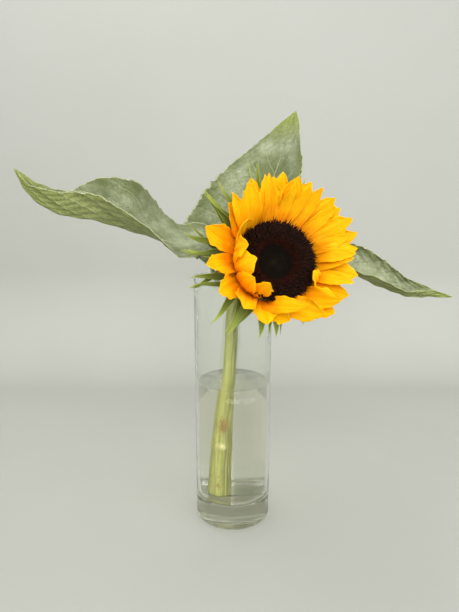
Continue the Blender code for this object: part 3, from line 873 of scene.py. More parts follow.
def make_stem(finish):
    """The stem: a ribbed tube, radius = R(t) (1 + ribs(a, t)) + scar bump, cut flat at its foot.

    The ribs are cosines of 9 and 4 times the angle a with phases that drift along t, and one deep
    furrow runs down the front.
    """
    places = np.linspace(0, 1, 300)
    sides = 72
    angle = np.arange(sides) * TAU / sides
    t, a = places[:, None], angle[None, :]
    front = np.cos(a - (-1.95 + 0.8 * (t - 0.3)))
    ribs = 0.020 * np.cos(9 * a + 3 * np.sin(4 * t)) + 0.022 * np.cos(4 * a + 2.5 * t)
    ribs = ribs - 0.085 * np.exp(-((1 - front) / 0.025))
    ribs = ribs + 0.012 * np.sin(61 * t + 2 * np.sin(2 * a)) * np.sin(17 * t + a)
    apart = np.cos(a - STEM_SCAR[1])
    scar = 0.0010 * bell(t, STEM_SCAR[0], 0.010) * np.exp(-(1 - apart) / 0.25)
    scar = scar + 0.0004 * bell(t, STEM_SCAR[0], 0.014)
    radii = stem_radii(places)[:, None] * (1 + ribs) + scar
    path = stem_path(places)
    points, faces, _ = tube(path, radii, sides)
    points[:sides, 2] = FLOOR_HEIGHT + GAP
    outward = head_axes()[2]
    last = points[len(places) * sides - sides : len(places) * sides]
    last -= ((last - path[-1]) @ outward)[:, None] * outward
    marks = np.stack(np.broadcast_arrays(t, a / TAU), -1).reshape(-1, 2)
    marks = np.concatenate([marks, [[0.0, 0.5], [1.0, 0.5]]])
    new_piece("stem_skin", points, faces, [finish], ["stem"], marks)


# ---------------------------------------------------------------- petals and bracts


def petal_grid(spec, rows, columns, breadth):
    """Mid-surface of a petal or bract in the head's frame.

    A strip starts on the root circle at the azimuth, runs out in the radial direction turned by lean,
    and rises at the lift angle, which grows by curl towards the tip. Its half-width at the share s of
    its length is the width times breadth(s), its margins bend up by the camber, and it is channelled
    lengthwise, twisted and waved by its own small amounts.
    """
    s = np.linspace(0, 1, rows)
    v = np.linspace(-1, 1, columns)
    azimuth = math.radians(spec["azimuth"])
    heading = azimuth + math.radians(spec["lean"]) * np.clip(s * 3, 0, 1)
    heading = heading + math.radians(spec["sway"]) * np.sin(math.pi * s)
    ripple = spec["ripple"] * np.sin(5.5 * s + azimuth * 3)
    rise = np.radians(spec["lift"] + spec["curl"] * s**1.5 + ripple)
    step = spec["length"] / (rows - 1)
    ahead = np.stack([np.cos(rise) * np.cos(heading), np.cos(rise) * np.sin(heading), np.sin(rise)], -1)
    middle = 0.5 * (ahead[1:] + ahead[:-1]) * step
    radius = RECEPTACLE_RADIUS + 1.3 * GAP
    root = np.array([radius * math.cos(azimuth), radius * math.sin(azimuth), spec["height"]])
    spine = root + np.vstack([np.zeros(3), np.cumsum(middle, axis=0)])
    across = np.stack([-np.sin(heading), np.cos(heading), np.zeros(rows)], -1)
    normal = np.cross(ahead, across)
    twist = np.radians(spec.get("overlap", 0.0) * (1 - s) + spec["twist"] * s)
    across, normal = (
        np.cos(twist)[:, None] * across + np.sin(twist)[:, None] * normal,
        np.cos(twist)[:, None] * normal - np.sin(twist)[:, None] * across,
    )
    half = 0.5 * spec["width"] * breadth(s)
    share = (half / half.max())[:, None]
    half, s = half[:, None], s[:, None]
    jag = np.sin(21 * s + azimuth * 31 + 2.2 * np.sign(v)) + np.sin(34 * s + azimuth * 57 - np.sign(v))
    offset = half * v * (1 + spec.get("jag", 0.0) * jag * np.clip(s * 2 - 0.8, 0, 1) * np.abs(v))
    bend = spec["camber"] * share * v**2
    bend = bend - spec.get("channel", 0.0) * share * np.cos(3 * math.pi * v) * (1 - 0.5 * v**2)
    frill = np.abs(v) ** 1.5 * np.sin(9 * s + 4 * v + azimuth * 7)
    bend = bend + spec.get("frill", 0.0) * share * frill
    return spine[:, None] + offset[..., None] * across[:, None] + bend[..., None] * normal[:, None]


def petal_breadth(s):
    """Share of the full width: a broad root, the widest part at the middle, a drawn-out point."""
    body = 0.74 + 0.26 * np.sin(0.5 * math.pi * np.clip(s / 0.55, 0, 1))
    return np.maximum(body * np.clip(1 - ((s - 0.48) / 0.525).clip(0) ** 2.3, 0, 1) ** 0.95, 0.02)


def bract_breadth(s):
    """Share of the full width: widest just past the root, then a long thin tip."""
    return np.clip((0.86 + 0.7 * s) * (1 - s) ** 1.05, 0.035, 1.0)


def shortening(azimuth):
    """Share of the full petal length at an azimuth: 1, less a bell at the lower right."""
    return 1 - SHORTER_SHARE * bell(azimuth, SHORTER_SIDE, SHORTER_SPREAD)


def cup_angle(azimuth):
    """How steeply the petals rise at an azimuth: open at the upper right, closed below."""
    below = (azimuth - 305.0) / 40.0
    return 50.5 - 13.5 * math.cos(math.radians(azimuth - 65.0)) + 9.0 * math.exp(-(below**2))


# Petals that leave the even cup: ring (0 inner, 1 outer) and place in it, with what differs.
FOLDED_PETALS = {
    (0, 6): {"lift": 66.0, "curl": 34.0, "width": 0.022},
    (0, 7): {"azimuth": 165.0, "lift": 70.0, "curl": 56.0, "length": 0.041, "width": 0.024},
    (0, 8): {"azimuth": 188.0, "lift": 78.0, "curl": 66.0, "length": 0.042, "width": 0.027, "twist": -10.0},
    (0, 9): {"azimuth": 212.0, "lift": 72.0, "curl": 44.0, "length": 0.041, "width": 0.022},
    (0, 10): {"azimuth": 237.0, "lift": 84.0, "curl": 44.0, "length": 0.038, "width": 0.017},
    (0, 11): {"azimuth": 256.0, "lift": 60.0, "curl": 2.0, "lean": 92.0, "length": 0.049, "width": 0.016},
    (0, 12): {"azimuth": 284.0, "lift": 54.0, "curl": 6.0, "lean": 56.0, "length": 0.048},
    (0, 13): {"azimuth": 308.0, "lift": 55.0, "curl": 2.0, "lean": 28.0},
    (0, 14): {"azimuth": 332.0, "lift": 60.0, "curl": 104.0, "length": 0.037, "width": 0.0165, "twist": 8.0},
    (1, 5): {"curl": 4.0, "length": 0.041},
    (1, 10): {"lift": 44.0, "curl": 8.0, "lean": 16.0, "length": 0.034},
    (1, 11): {"azimuth": 264.0, "lift": 44.0, "curl": 8.0, "lean": 44.0, "length": 0.031},
    (1, 12): {"azimuth": 298.0, "lift": 40.0, "curl": 8.0, "lean": 34.0, "length": 0.046},
    (1, 13): {"lift": 44.0, "curl": 4.0, "lean": 14.0},
}


def petal_specs():
    """Every petal: two rings of evenly spaced petals, a little uneven, and the folded ones."""
    random = np.random.default_rng(7)
    loose = np.random.default_rng(21)
    pitch = 360.0 / PETALS_PER_RING
    for ring in range(2):
        for place in range(PETALS_PER_RING):
            azimuth = (place + 0.5 * ring) * pitch + random.uniform(-2.0, 2.0)
            spec = {
                "azimuth": azimuth,
                "lean": random.uniform(-5.0, 5.0),
                "lift": cup_angle(azimuth) + (3.0 if ring == 0 else -7.0) + (2.5 if place % 2 else -1.0),
                "curl": random.uniform(-7.0, 5.0),
                "length": PETAL_LENGTH * random.uniform(0.90, 1.03) * shortening(azimuth),
                "width": 1.36 * PETAL_WIDTH * random.uniform(0.88, 1.06),
                "height": PETAL_SEAT - PETAL_RING_STEP * ring,
                "camber": loose.uniform(0.0010, 0.0030),
                "channel": loose.uniform(0.0004, 0.0009),
                "frill": loose.uniform(0.0006, 0.0020),
                "twist": loose.uniform(-24.0, 24.0),
                "overlap": 7.0,
                "jag": loose.uniform(0.07, 0.13),
                "sway": loose.uniform(-10.0, 10.0),
                "ripple": loose.uniform(3.0, 8.0),
            }
            spec.update(FOLDED_PETALS.get((ring, place), {}))
            yield spec


# Bracts: azimuth and lift in degrees, curl in degrees, length and width in metres.
BRACTS = [
    (8.0, 26.0, 6.0, 0.038, 0.0080),
    (38.0, 26.0, 6.0, 0.038, 0.0080),
    (66.0, 22.0, 6.0, 0.052, 0.0095),
    (86.0, 22.0, 6.0, 0.050, 0.0095),
    (104.0, 24.0, 8.0, 0.058, 0.0110),
    (121.0, 24.0, 12.0, 0.060, 0.0115),
    (138.0, 20.0, 16.0, 0.059, 0.0115),
    (154.0, 16.0, 20.0, 0.057, 0.0110),
    (174.0, 16.0, 4.0, 0.050, 0.0095),
    (194.0, 18.0, -8.0, 0.046, 0.0095),
    (214.0, 20.0, -10.0, 0.050, 0.0100),
    (233.0, 14.0, -22.0, 0.044, 0.0105),
    (252.0, 4.0, -34.0, 0.036, 0.0112),
    (270.0, -2.0, -34.0, 0.034, 0.0112),
    (290.0, 6.0, -30.0, 0.030, 0.0112),
    (316.0, 20.0, -6.0, 0.030, 0.0100),
    (342.0, 26.0, 4.0, 0.038, 0.0090),
]


def bract_specs():
    """Every bract: one ring of tapering green scales behind the petals."""
    loose = np.random.default_rng(33)
    for azimuth, lift, curl, length, width in BRACTS:
        yield {
            "azimuth": azimuth,
            "lean": 0.0,
            "lift": lift,
            "curl": curl,
            "length": length,
            "width": width,
            "height": BRACT_SEAT,
            "camber": 0.0014,
            "channel": 0.0002,
            "frill": 0.0003,
            "twist": loose.uniform(-40.0, 40.0),
            "sway": loose.uniform(-28.0, 28.0),
            "ripple": loose.uniform(4.0, 10.0),
        }


# Thin curly scales between the bracts: azimuth, lift, curl and sway in degrees, and length in metres.
SMALL_BRACTS = [
    (58.0, 20.0, 10.0, 12.0, 0.050),
    (76.0, 24.0, 6.0, -10.0, 0.053),
    (95.0, 26.0, 4.0, 14.0, 0.060),
    (113.0, 26.0, 8.0, -16.0, 0.061),
    (130.0, 20.0, 14.0, 20.0, 0.060),
    (147.0, 16.0, 24.0, -24.0, 0.060),
    (163.0, 14.0, 30.0, 28.0, 0.060),
    (170.0, 8.0, 44.0, -30.0, 0.060),
    (184.0, 10.0, 34.0, 30.0, 0.058),
    (203.0, 16.0, 10.0, -22.0, 0.052),
    (224.0, 14.0, -20.0, 20.0, 0.046),
    (243.0, 4.0, -40.0, -18.0, 0.038),
    (262.0, -2.0, -40.0, 16.0, 0.034),
    (281.0, 0.0, -36.0, -14.0, 0.032),
    (304.0, 14.0, -16.0, 14.0, 0.032),
]


def strip_sheet(spec, breadth, rows, columns, skin, taper, rim, deeper=1.0, last=1.0, shift=0.0):
    """One petal or bract as points, faces, pattern places and skins.

    Half its thickness above the middle is skin (1 - taper s) (1 - rim v^2), and deeper times that below.
    """
    grid = petal_grid(spec, rows, columns, breadth)
    along = np.linspace(0, last, rows)
    thick = skin * (1 - taper * along[:, None]) * (1 - rim * np.linspace(-1, 1, columns) ** 2)
    points, faces, side = sheet(on_head(grid), thick, deeper * thick)
    return points, faces, grid_marks(along, np.linspace(0, 1, columns) + shift), side


def joined(sheets):
    """Several sheets as one mesh: points, faces, pattern places and skins put one after another."""
    points, faces, marks, sides = zip(*sheets)
    starts = np.cumsum([0] + [len(part) for part in points])
    blocks = [np.concatenate([block[0] + start for block, start in zip(faces, starts)])]
    return np.concatenate(points), blocks, np.concatenate(marks), np.concatenate(sides)


def make_petals(finishes):
    """Every petal as its own thin sheet, with its root laid against the rim of the green back."""
    for number, spec in enumerate(petal_specs(), 1):
        size = (40, 15, PETAL_SKIN, 0.5, 0.4)
        points, faces, marks, skin = strip_sheet(spec, petal_breadth, *size, last=0.999, shift=number)
        nodes = [f"ray_petal_{number:02d}"]
        new_piece(f"petal_{number:02d}", points, faces, finishes, nodes, marks, skin)


def make_inner_petals(finishes):
    """Narrow petals that fill the open side of the cup between the others, as one mesh."""
    loose = np.random.default_rng(52)
    sheets = []
    for azimuth in np.arange(-20.0, 142.0, 12.5):
        azimuth = azimuth + loose.uniform(-3.0, 3.0)
        spec = {
            "azimuth": azimuth,
            "lean": loose.uniform(-10.0, 10.0),
            "lift": cup_angle(azimuth) + loose.uniform(4.0, 10.0),
            "curl": loose.uniform(-14.0, 2.0),
            "length": PETAL_LENGTH * loose.uniform(0.84, 0.98),
            "width": PETAL_WIDTH * loose.uniform(0.62, 0.85),
            "height": PETAL_SEAT + 0.0008,
            "camber": 0.0022,
            "channel": 0.0004,
            "frill": 0.0008,
            "twist": loose.uniform(-30.0, 30.0),
            "jag": 0.10,
            "sway": loose.uniform(-12.0, 12.0),
            "ripple": loose.uniform(3.0, 8.0),
        }
        size = (32, 9, PETAL_SKIN, 0.5, 0.0)
        sheets.append(strip_sheet(spec, petal_breadth, *size, last=0.999, shift=azimuth))
    points, faces, marks, skin = joined(sheets)
    new_piece("inner_petals", points, faces, finishes, (), marks, skin)


def make_bracts(finish):
    """Every bract as its own keeled sheet with a long soft point."""
    for number, spec in enumerate(bract_specs(), 1):
        size = (30, 9, BRACT_SKIN, 0.6, 0.6)
        points, faces, marks, _ = strip_sheet(spec, bract_breadth, *size, deeper=1.6)
        nodes = [f"bract_{number:02d}"]
        new_piece(f"bract_{number:02d}_leaf", points, faces, [finish], nodes, marks)


def make_small_bracts(finish):
    """The thin curly scales as one mesh: each is a narrow bract with a strong sway and twist."""
    loose = np.random.default_rng(41)
    sheets = []
    for azimuth, lift, curl, sway, length in SMALL_BRACTS:
        spec = {
            "azimuth": azimuth,
            "lean": 0.0,
            "lift": lift,
            "curl": curl,
            "length": length,
            "width": loose.uniform(0.0048, 0.0068),
            "height": BRACT_SEAT + 0.0008,
            "camber": 0.0008,
            "twist": loose.uniform(-70.0, 70.0),
            "sway": sway,
            "ripple": loose.uniform(6.0, 14.0),
        }
        size = (26, 5, 0.7 * BRACT_SKIN, 0.6, 0.0)
        sheets.append(strip_sheet(spec, bract_breadth, *size, deeper=1.4))
    points, faces, marks, _ = joined(sheets)
    new_piece("small_bracts", points, faces, [finish], (), marks)


def make_receptacle(finish):
    """The green back of the head: a turned bowl with shallow ribs that run in to the neck."""
    profile = np.array(
        [
            (0, -RECEPTACLE_BACK),
            (NECK_RADIUS + 0.0002, -RECEPTACLE_BACK),
            (0.0066, -0.0293),
            (0.0095, -0.0278),
            (0.0150, -0.0258),
            (0.0240, -0.0230),
            (0.0300, -0.0211),
            (0.0335, -0.0192),
            (0.0349, -0.0172),
            (0.0350, -0.0150),
            (0.0346, -0.0134),
            (0, -0.0132),
        ]
    )
    sides = 96
    points, faces = turned(profile, sides)
    angle = np.arctan2(points[:, 1], points[:, 0])
    radius = np.hypot(points[:, 0], points[:, 1])
    swell = 1 + 0.012 * np.cos(17 * angle) * bell(radius, 0.022, 0.012)
    points[:, :2] *= swell[:, None]
    around = np.mod(angle / TAU * 6, 1.0) * 0.4 + 0.3
    # Painted shade: the back's pattern places run only from 0 to 0.5 along, so it takes the dark root half
    # of the bract colours.
    marks = np.stack([radius / RECEPTACLE_RADIUS * 0.5, around], -1)
    new_piece("head_back", on_head(points), faces, [finish], ["receptacle"], marks)


# ---------------------------------------------------------------- seed head


def disc_height(radius):
    """Height of the seed head's skin: a raised ring of open florets round a sunken middle."""
    middle = np.exp(-((radius / 0.0185) ** 3.2))
    return 0.0004 - 0.0086 * middle - 0.0022 * bell(radius, 0.0360, 0.0030)


def make_disc_base(finish):
    """The solid under the florets, turned from the height rule, with a flat back."""
    radius = np.linspace(DISC_RADIUS - 0.0004, 0.0005, 40)
    profile = np.concatenate(
        [
            [(0, -0.0127), (0.0300, -0.0127), (0.0322, -0.0090), (DISC_RADIUS - 0.0006, -0.0040)],
            np.stack([radius, disc_height(radius) - 0.0012], -1),
            [(0, disc_height(0.0) - 0.0012)],
        ]
    )
    points, faces = turned(profile, 96)
    marks = np.stack([np.hypot(points[:, 0], points[:, 1]) / DISC_RADIUS, np.zeros(len(points))], -1)
    new_piece("seed_head", on_head(points), faces, [finish], ["disc_florets"], marks)


def floret_rows(count, spacing):
    """Places on the seed head: the nth floret at radius spacing sqrt(n), turned by the golden angle."""
    order = np.arange(count) + 0.6
    radius = spacing * np.sqrt(order)
    turn = order * math.pi * (3 - math.sqrt(5))
    return radius, turn


def spikes(radius, turn, length, width, outline, tilt, roll, sides):
    """Many small tapering florets at once, as points of shape (floret, ring, side).

    Each stands on the seed head at (radius, turn), leans outward by tilt and sideways by roll, and
    has the radius width * outline[ring] at the height length * ring share.
    """
    rings = len(outline)
    level = np.linspace(0, 1, rings)
    around = np.arange(sides) * TAU / sides
    radial = np.stack([np.cos(turn), np.sin(turn), np.zeros_like(turn)], -1)
    tangent = np.stack([-np.sin(turn), np.cos(turn), np.zeros_like(turn)], -1)
    upward = np.array([0.0, 0.0, 1.0])
    lean, roll = tilt[:, None], roll[:, None]
    axis = unit(np.cos(lean) * upward + np.sin(lean) * radial + np.sin(roll) * tangent)
    first = unit(np.cross(tangent, axis))
    second = np.cross(axis, first)
    base = radius[:, None] * radial + (disc_height(radius) - FLORET_ROOT)[:, None] * upward
    middle = base[:, None] + (length[:, None] * level)[..., None] * axis[:, None]
    girth = width[:, None] * np.asarray(outline)
    around = around[:, None]
    ring = np.cos(around) * first[:, None, None] + np.sin(around) * second[:, None, None]
    return middle[:, :, None] + girth[..., None, None] * ring


def spike_faces(count, rings, sides):
    """Faces for the points that spikes gives: walls and a closing face at both ends."""
    index = np.arange(count * rings * sides).reshape(count, rings, sides)
    ahead = np.roll(index, -1, axis=2)
    walls = np.stack([index[:, :-1], ahead[:, :-1], ahead[:, 1:], index[:, 1:]], -1).reshape(-1, 4)
    return [walls, np.concatenate([index[:, 0, ::-1], index[:, -1]])]


def add_florets(name, finish, points, share, start, shade):
    """A mesh of florets; its pattern places are the share of the radius and the height times shade."""
    count, rings, sides = points.shape[:3]
    level = np.broadcast_to(np.linspace(start, 1, rings)[None, :, None], points.shape[:3])
    tone = np.broadcast_to(share[:, None, None], points.shape[:3])
    marks = np.stack([tone, level * shade], -1).reshape(-1, 2)
    faces = spike_faces(count, rings, sides)
    new_piece(name, on_head(points.reshape(-1, 3)), faces, [finish], marks=marks)


def make_florets(finish):
    """Tight buds in the middle, open florets outwards, and thin dark styles that stand above them."""
    random = np.random.default_rng(5)
    radius, turn = floret_rows(BUD_COUNT, BUD_SPACING)
    inside = radius < DISC_RADIUS - 0.0002
    radius, turn = radius[inside], turn[inside]
    share = radius / DISC_RADIUS
    opened = np.clip((share - 0.50) / 0.12, 0, 1)
    count = len(radius)
    jitter = random.uniform(-1, 1, (count, 4))
    length = 0.0022 + 0.0026 * opened + 0.0005 * jitter[:, 0] * (0.4 + opened)
    width = 0.00072 + 0.00016 * opened + 0.00006 * jitter[:, 1]
    tilt = 0.10 + 0.75 * np.clip(share - 0.55, 0, 1) ** 1.3 * 2.0 + 0.10 * jitter[:, 2] * opened
    turn = np.mod(turn, TAU)
    tilt = np.where(share < 0.5, -0.35 * (0.5 - share), tilt)
    roll = 0.14 * jitter[:, 3] * opened
    shape = [1.0, 1.1, 0.95, 0.45]
    points = spikes(radius, turn, length, width, shape, tilt, roll, 6)
    add_florets("open_florets", finish, points, share, 0.0, random.uniform(0.6, 1.0, (count, 1, 1)))

    chosen = np.flatnonzero(share > 0.54)
    many = np.repeat(chosen, 2)
    jitter = random.uniform(-1, 1, (len(many), 5))
    edge = np.clip((share[many] - 0.86) / 0.14, 0, 1)
    clump = np.sin(31 * turn[many] + 2 * np.sin(7 * turn[many]))
    thin_length = 0.0050 + 0.0012 * jitter[:, 0] + (0.0012 + 0.0022 * clump) * edge
    folded = 0.5 + 0.5 * np.cos(turn[many] - CLOSED_SIDE)
    free = 1 - np.clip((folded - 0.55) / 0.25, 0, 1)
    thin_tilt = (tilt[many] + 0.25 * edge) * free + 0.26 * jitter[:, 1] * (0.4 + 0.6 * free)
    thin_tilt = thin_tilt - 0.45 * edge * (1 - free) + 0.26 * clump * edge * free
    points = spikes(
        np.minimum(radius[many] + 0.0004 * jitter[:, 2], DISC_RADIUS),
        turn[many] + 0.02 * jitter[:, 3],
        thin_length,
        np.full(len(many), STYLE_WIDTH),
        [1.0, 0.9, 0.8, 0.15],
        thin_tilt,
        0.30 * jitter[:, 4],
        4,
    )
    shade = random.uniform(0.3, 1.0, (len(many), 1, 1))
    add_florets("floret_styles", finish, points, share[many], 0.1, shade)


# ---------------------------------------------------------------- leaves

# Leaves: the stalk and midrib as one line of points from the stem to the tip, the share of that line
# that is stalk, the two half-widths, and the angles at which the halves rise beside the midrib, in
# degrees, from the start of the blade to its tip. Each half turns further by its curl at the margin.
LEAVES = {
    "leaf_left": {
        "line": [
            (-0.0170, -0.0110, 0.2560),
            (-0.0295, -0.0127, 0.2900),
            (-0.0560, -0.0180, 0.2930),
            (-0.0860, -0.0260, 0.3015),
            (-0.1250, -0.0330, 0.3140),
            (-0.1590, -0.0390, 0.3200),
            (-0.1850, -0.0440, 0.3370),
            (-0.1950, -0.0480, 0.3590),
        ],
        "joint": 0.615,
        "clearance": 0.0005,
        "side": (0.0, -1.0, 0.0),
        "stalk": 0.27,
        "peak": 0.62,
        "sweep": (0.0, 0.0),
        "widths": (0.036, 0.050),
        "near": (-25.0, -30.0, 15.0, 50.0, 55.0, 50.0),
        "far": (34.0, 31.0, 29.0, 33.0, 50.0, 84.0, 62.0, 52.0, 48.0, 45.0, 42.0),
        "curls": (10.0, 0.0),
        "seed": 3.0,
    },
    "leaf_back": {
        "line": [
            (0.0070, 0.0060, 0.2640),
            (0.0200, 0.0150, 0.3000),
            (0.0320, 0.0240, 0.3300),
            (0.0450, 0.0330, 0.3650),
            (0.0570, 0.0440, 0.4000),
            (0.0690, 0.0560, 0.4350),
        ],
        "joint": 0.655,
        "clearance": 0.0011,
        "side": (-1.0, 0.30, 0.0),
        "stalk": 0.34,
        "peak": 0.50,
        "sweep": (0.31, 0.08),
        "widths": (0.074, 0.050),
        "near": (10.0, 14.0, 16.0, 18.0, 14.0, 5.0),
        "far": (30.0, 30.0, 30.0, 28.0, 20.0, 5.0),
        "curls": (-12.0, 10.0),
        "seed": 11.0,
    },
    "leaf_right": {
        "line": [
            (0.0330, -0.0050, 0.2745),
            (0.0480, -0.0035, 0.2840),
            (0.0700, -0.0060, 0.2850),
            (0.0940, -0.0145, 0.2770),
            (0.1178, -0.0250, 0.2645),
            (0.1400, -0.0330, 0.2530),
            (0.1620, -0.0400, 0.2450),
            (0.1850, -0.0440, 0.2440),
            (0.2040, -0.0456, 0.2440),
        ],
        "joint": 0.80,
        "clearance": 0.0011,
        "side": (0.0, -1.0, 0.0),
        "stalk": 0.37,
        "peak": 0.62,
        "sweep": (0.0, 0.0),
        "widths": (0.021, 0.031),
        "near": (-20.0, -10.0, 0.0, 20.0, 40.0, 40.0),
        "far": (35.0, 40.0, 42.0, 40.0, 36.0, 30.0),
        "curls": (0.0, 110.0),
        "seed": 29.0,
    },
}


def leaf_breadth(share, peak):
    """Half-width along the blade as a share of the widest: (sin(pi share^peak))^0.85."""
    return np.clip(np.sin(math.pi * np.clip(share, 0, 1) ** peak), 0, 1) ** 0.85


def stalk_start(spec):
    """First two points of a leaf's line: just clear of the stem's skin, then out and a little up."""
    place = np.array([spec["joint"], spec["joint"] + 0.01])
    axis = stem_path(place)
    along = unit(axis[1] - axis[0])
    out = np.array(spec["line"][0]) - axis[0]
    out = unit(out - (out @ along) * along)
    root = axis[0] + (stem_radii(place)[0] + GAP + spec["clearance"] - 0.0012) * out
    return [tuple(root), tuple(root + STALK_REACH * unit(out + 0.6 * along))]


def teeth(share, count, seed):
    """Saw-like margin: each tooth rises slowly towards the tip and drops at once; sizes vary."""
    turns = share * count + 0.35 * np.sin(share * 17 + seed)
    return (turns % 1.0) ** 0.8 * (0.65 + 0.35 * np.sin(7.1 * np.floor(turns) + seed))


def leaf_grid(spec, rows, columns):
    """Mid-surface of a leaf: rows along the stalk and midrib, columns across both halves.

    Across the blade a half starts at its rise angle beside the midrib and turns evenly by its curl
    until the margin, which its sweep draws back towards the stalk. Teeth stretch the outer part of
    each half; the blade then waves, sinks along its side veins and swells between them.
    """
    t = np.linspace(0, 1, rows) ** 0.95
    v = np.linspace(-1, 1, columns)
    v = np.sign(v) * (1 - (1 - np.abs(v)) ** 1.25)
    spine = smooth_curve(stalk_start(spec) + spec["line"], t)
    ahead = unit(np.gradient(spine, axis=0))
    side = np.array(spec["side"]) - (ahead @ np.array(spec["side"]))[:, None] * ahead
    side = unit(side)
    upward = np.cross(ahead, side)
    facing = np.sign(upward[-1, 2])
    upward *= facing
    share = (t - spec["stalk"]) / (1 - spec["stalk"])
    blade = leaf_breadth(share, spec["peak"])
    grid = np.empty((rows, columns, 3))
    steps = 60
    fine = np.linspace(0, 1.15, steps + 1)
    halves = zip((1, -1), ("near", "far"), spec["widths"], spec["curls"], spec["sweep"])
    for sign, key, width, curl, sweep in halves:
        chosen = v * sign >= 0
        reach = np.abs(v[chosen])
        half = np.maximum(width * blade, STALK_HALF_WIDTH * np.clip((1.02 - t) * 14, 0.05, 1))
        first = np.radians(key_values(spec[key], np.clip(share, 0, 1)))
        first = first * np.clip((share + 0.10) / 0.10, 0, 1)
        turn = first[:, None] + math.radians(curl) * fine**2 * np.clip(blade, 0, 1)[:, None]
        middle = 0.5 * (turn[:, 1:] + turn[:, :-1])
        start = np.zeros((rows, 1))
        out = np.hstack([start, np.cumsum(np.cos(middle), axis=1)]) * fine[1]
        up = np.hstack([start, np.cumsum(np.sin(middle), axis=1)]) * fine[1]
        bite = 0.075 * (teeth(share, LEAF_TEETH, spec["seed"] + sign) - 0.45) * (share > 0)
        place = reach * (1 + bite[:, None] * np.clip((reach - 0.75) / 0.25, 0, 1) ** 1.3)
        at = np.clip(place / fine[1], 0, steps - 0.001)
        low = at.astype(int)
        part = at - low
        out, up = (
            np.take_along_axis(run, low, 1) * (1 - part) + np.take_along_axis(run, low + 1, 1) * part
            for run in (out, up)
        )
        grid[:, chosen] = (
            spine[:, None]
            + sign * (half[:, None] * out)[..., None] * side[:, None]
            + (half[:, None] * up)[..., None] * upward[:, None]
            - (sweep * half[:, None] * reach**1.5)[..., None] * ahead[:, None]
        )
    if facing < 0:
        grid = grid[:, ::-1]
    v = v * facing
    v = v if facing > 0 else v[::-1]
    relief = leaf_relief(share[:, None], v[None, :], spec["seed"]) * np.clip(blade * 3, 0, 1)[:, None]
    normal = unit(np.cross(np.gradient(grid, axis=0), np.gradient(grid, axis=1)))
    return grid + relief[..., None] * normal, t, share, v, blade


def leaf_relief(share, v, seed):
    """Height of the blade's relief: margin waves, quilting between side veins and small puckers."""
    reach = np.abs(v)
    waves = 0.0024 * reach**2 * np.sin(13 * share + seed + 1.7 * np.sign(v))
    line = (share - VEIN_SLOPE * reach**0.85) * SIDE_VEINS + 0.5 * (v > 0)
    quilt = 0.0011 * (np.abs(np.sin(math.pi * line)) ** 0.7 - 0.5) * np.clip(reach * 4, 0, 1)
    pucker = 0.0008 * np.sin(46 * share + 9 * v + seed) * np.sin(17 * v + 21 * share)
    return (waves + quilt + pucker) * np.clip(share * 6, 0, 1)


def make_leaf(name, spec, top, under):
    """One leaf with its stalk: a thin puckered blade with a raised midrib below and a round stalk."""
    rows, columns = 260, 71
    grid, t, share, v, blade = leaf_grid(spec, rows, columns)
    thin = np.clip((t - spec["stalk"] + 0.02) / 0.06, 0, 1)[:, None]
    round_stalk = 0.5 * STALK_THICKNESS * np.sqrt(1 - 0.96 * v[None, :] ** 2)
    above = round_stalk * (1 - thin) + 0.5 * LEAF_SKIN * thin
    width = np.maximum(max(spec["widths"]) * blade, STALK_HALF_WIDTH)[:, None]
    ridge = np.exp(-((v * width / 0.0016) ** 2))
    rib = MIDRIB_DEPTH * (1 - 0.75 * np.clip(share, 0, 1))[:, None] * ridge
    below = round_stalk * (1 - thin) + (0.5 * LEAF_SKIN + rib) * thin
    points, faces, skin = sheet(grid, above, below)
    marks = grid_marks(share, 0.5 + 0.5 * v)
    new_piece(f"{name}_blade", points, faces, [top, under], [name], marks, skin)


# ---------------------------------------------------------------- stage, light and camera


def make_stage(finish):
    """Pale floor that runs back in y and then sweeps up in z on a quarter circle into a wall."""
    turn = np.linspace(0, math.pi / 2, 24)
    sweep = FLOOR_BACK - FLOOR_BEND + FLOOR_BEND * np.sin(turn)
    y = np.concatenate([[-FLOOR_FRONT], sweep, [FLOOR_BACK]])
    z = np.concatenate([[0.0], FLOOR_BEND - FLOOR_BEND * np.cos(turn), [WALL_HEIGHT]])
    points = np.array([(x, *pair) for pair in zip(y, z) for x in (-FLOOR_SIDE, FLOOR_SIDE)])
    index = np.arange(len(points)).reshape(-1, 2)
    faces = np.stack([index[:-1, 0], index[:-1, 1], index[1:, 1], index[1:, 0]], -1)
    mesh = bpy.data.meshes.new("floor")
    mesh.from_pydata(points.tolist(), [], faces.tolist())
    mesh.materials.append(finish)
    mesh.shade_smooth()
    floor = bpy.data.objects.new("floor", mesh)
    bpy.context.scene.collection.objects.link(floor)


def add_lamp(name, place, size, power, colour):
    """A soft square lamp that looks at the flower."""
    lamp = bpy.data.lights.new(name, "AREA")
    lamp.shape = "SQUARE"
    lamp.size = size
    lamp.energy = power
    lamp.color = colour
    made = bpy.data.objects.new(name, lamp)
    made.location = place
    aim = AIM - np.array(place)
    flat = math.hypot(aim[0], aim[1])
    made.rotation_euler = (math.atan2(flat, -aim[2]), 0.0, math.atan2(aim[1], aim[0]) - math.pi / 2)
    bpy.context.scene.collection.objects.link(made)


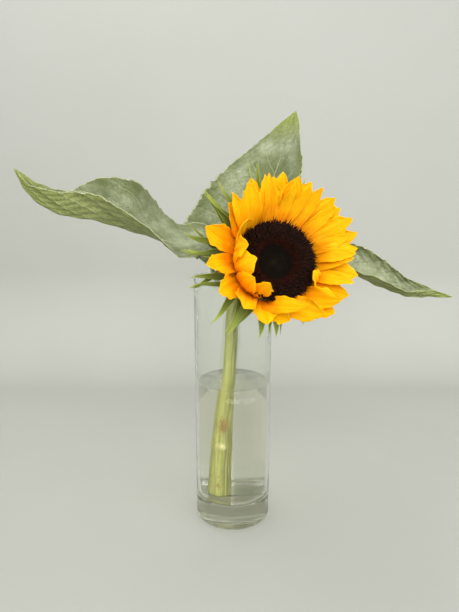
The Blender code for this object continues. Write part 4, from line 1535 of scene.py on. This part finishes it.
def make_light():
    """A broad key in front, a weaker fill on the right, two faint lamps behind, and a pale room."""
    for lamp in LAMPS:
        add_lamp(*lamp)
    world = bpy.data.worlds.new("pale_room")
    bpy.context.scene.world = world
    world.use_nodes = True
    tree = world.node_tree
    tree.nodes.clear()
    place = node(tree, "ShaderNodeTexCoord").outputs
    parts = parts_of(tree, place["Generated"])
    depth = spread(tree, parts[1], -0.9, 0.3)
    colour = mixed(tree, depth, ROOM_FRONT, ROOM_BACK)
    sky = node(tree, "ShaderNodeBackground", {"Color": colour, "Strength": ROOM_STRENGTH})
    node(tree, "ShaderNodeOutputWorld", {"Surface": sky.outputs[0]})


def make_camera():
    """Eye a little above the vase's rim, close in front, looking slightly down."""
    camera = bpy.data.cameras.new("camera")
    camera.sensor_width = SENSOR
    camera.lens = LENS
    made = bpy.data.objects.new("camera", camera)
    made.location = EYE
    made.rotation_euler = (EYE_TILT, 0.0, 0.0)
    bpy.context.scene.collection.objects.link(made)
    bpy.context.scene.camera = made
    bpy.context.scene.view_settings.view_transform = "Standard"


def main():
    """The whole scene: eye and light, floor, vase and water, then the flower from stem to leaves."""
    make_camera()
    make_light()
    make_stage(floor_finish())
    make_vase(glass_finish())
    make_water(water_finish())
    make_stem(stem_finish())
    petal_faces = [
        # The root colours are partly painted shade at the petal bases, deepest on the inside face.
        petal_finish("petal_inside", tint(224, 104, 2), tint(246, 148, 1), tint(255, 186, 1)),
        petal_finish("petal_outside", tint(236, 144, 2), tint(245, 158, 2), tint(252, 176, 2)),
    ]
    make_petals(petal_faces)
    make_inner_petals(petal_faces)
    green = bract_finish()
    make_bracts(green)
    make_small_bracts(green)
    make_receptacle(green)
    brown = floret_finish()
    make_disc_base(brown)
    make_florets(brown)
    # Leaf faces: name, dark green, pale blotch colour (partly dusty bloom, partly painted sheen), vein
    # colour, border colour, and whether it is the underside.
    faces = [
        ("leaf_top", (98, 108, 58), (164, 170, 137), (168, 174, 128), (100, 110, 54), False),
        ("leaf_under", (126, 136, 70), (152, 158, 98), (190, 192, 138), (128, 136, 68), True),
    ]
    skins = [blade_finish(name, *(tint(*tone) for tone in tones), under) for name, *tones, under in faces]
    for name, spec in LEAVES.items():
        make_leaf(name, spec, *skins)


main()
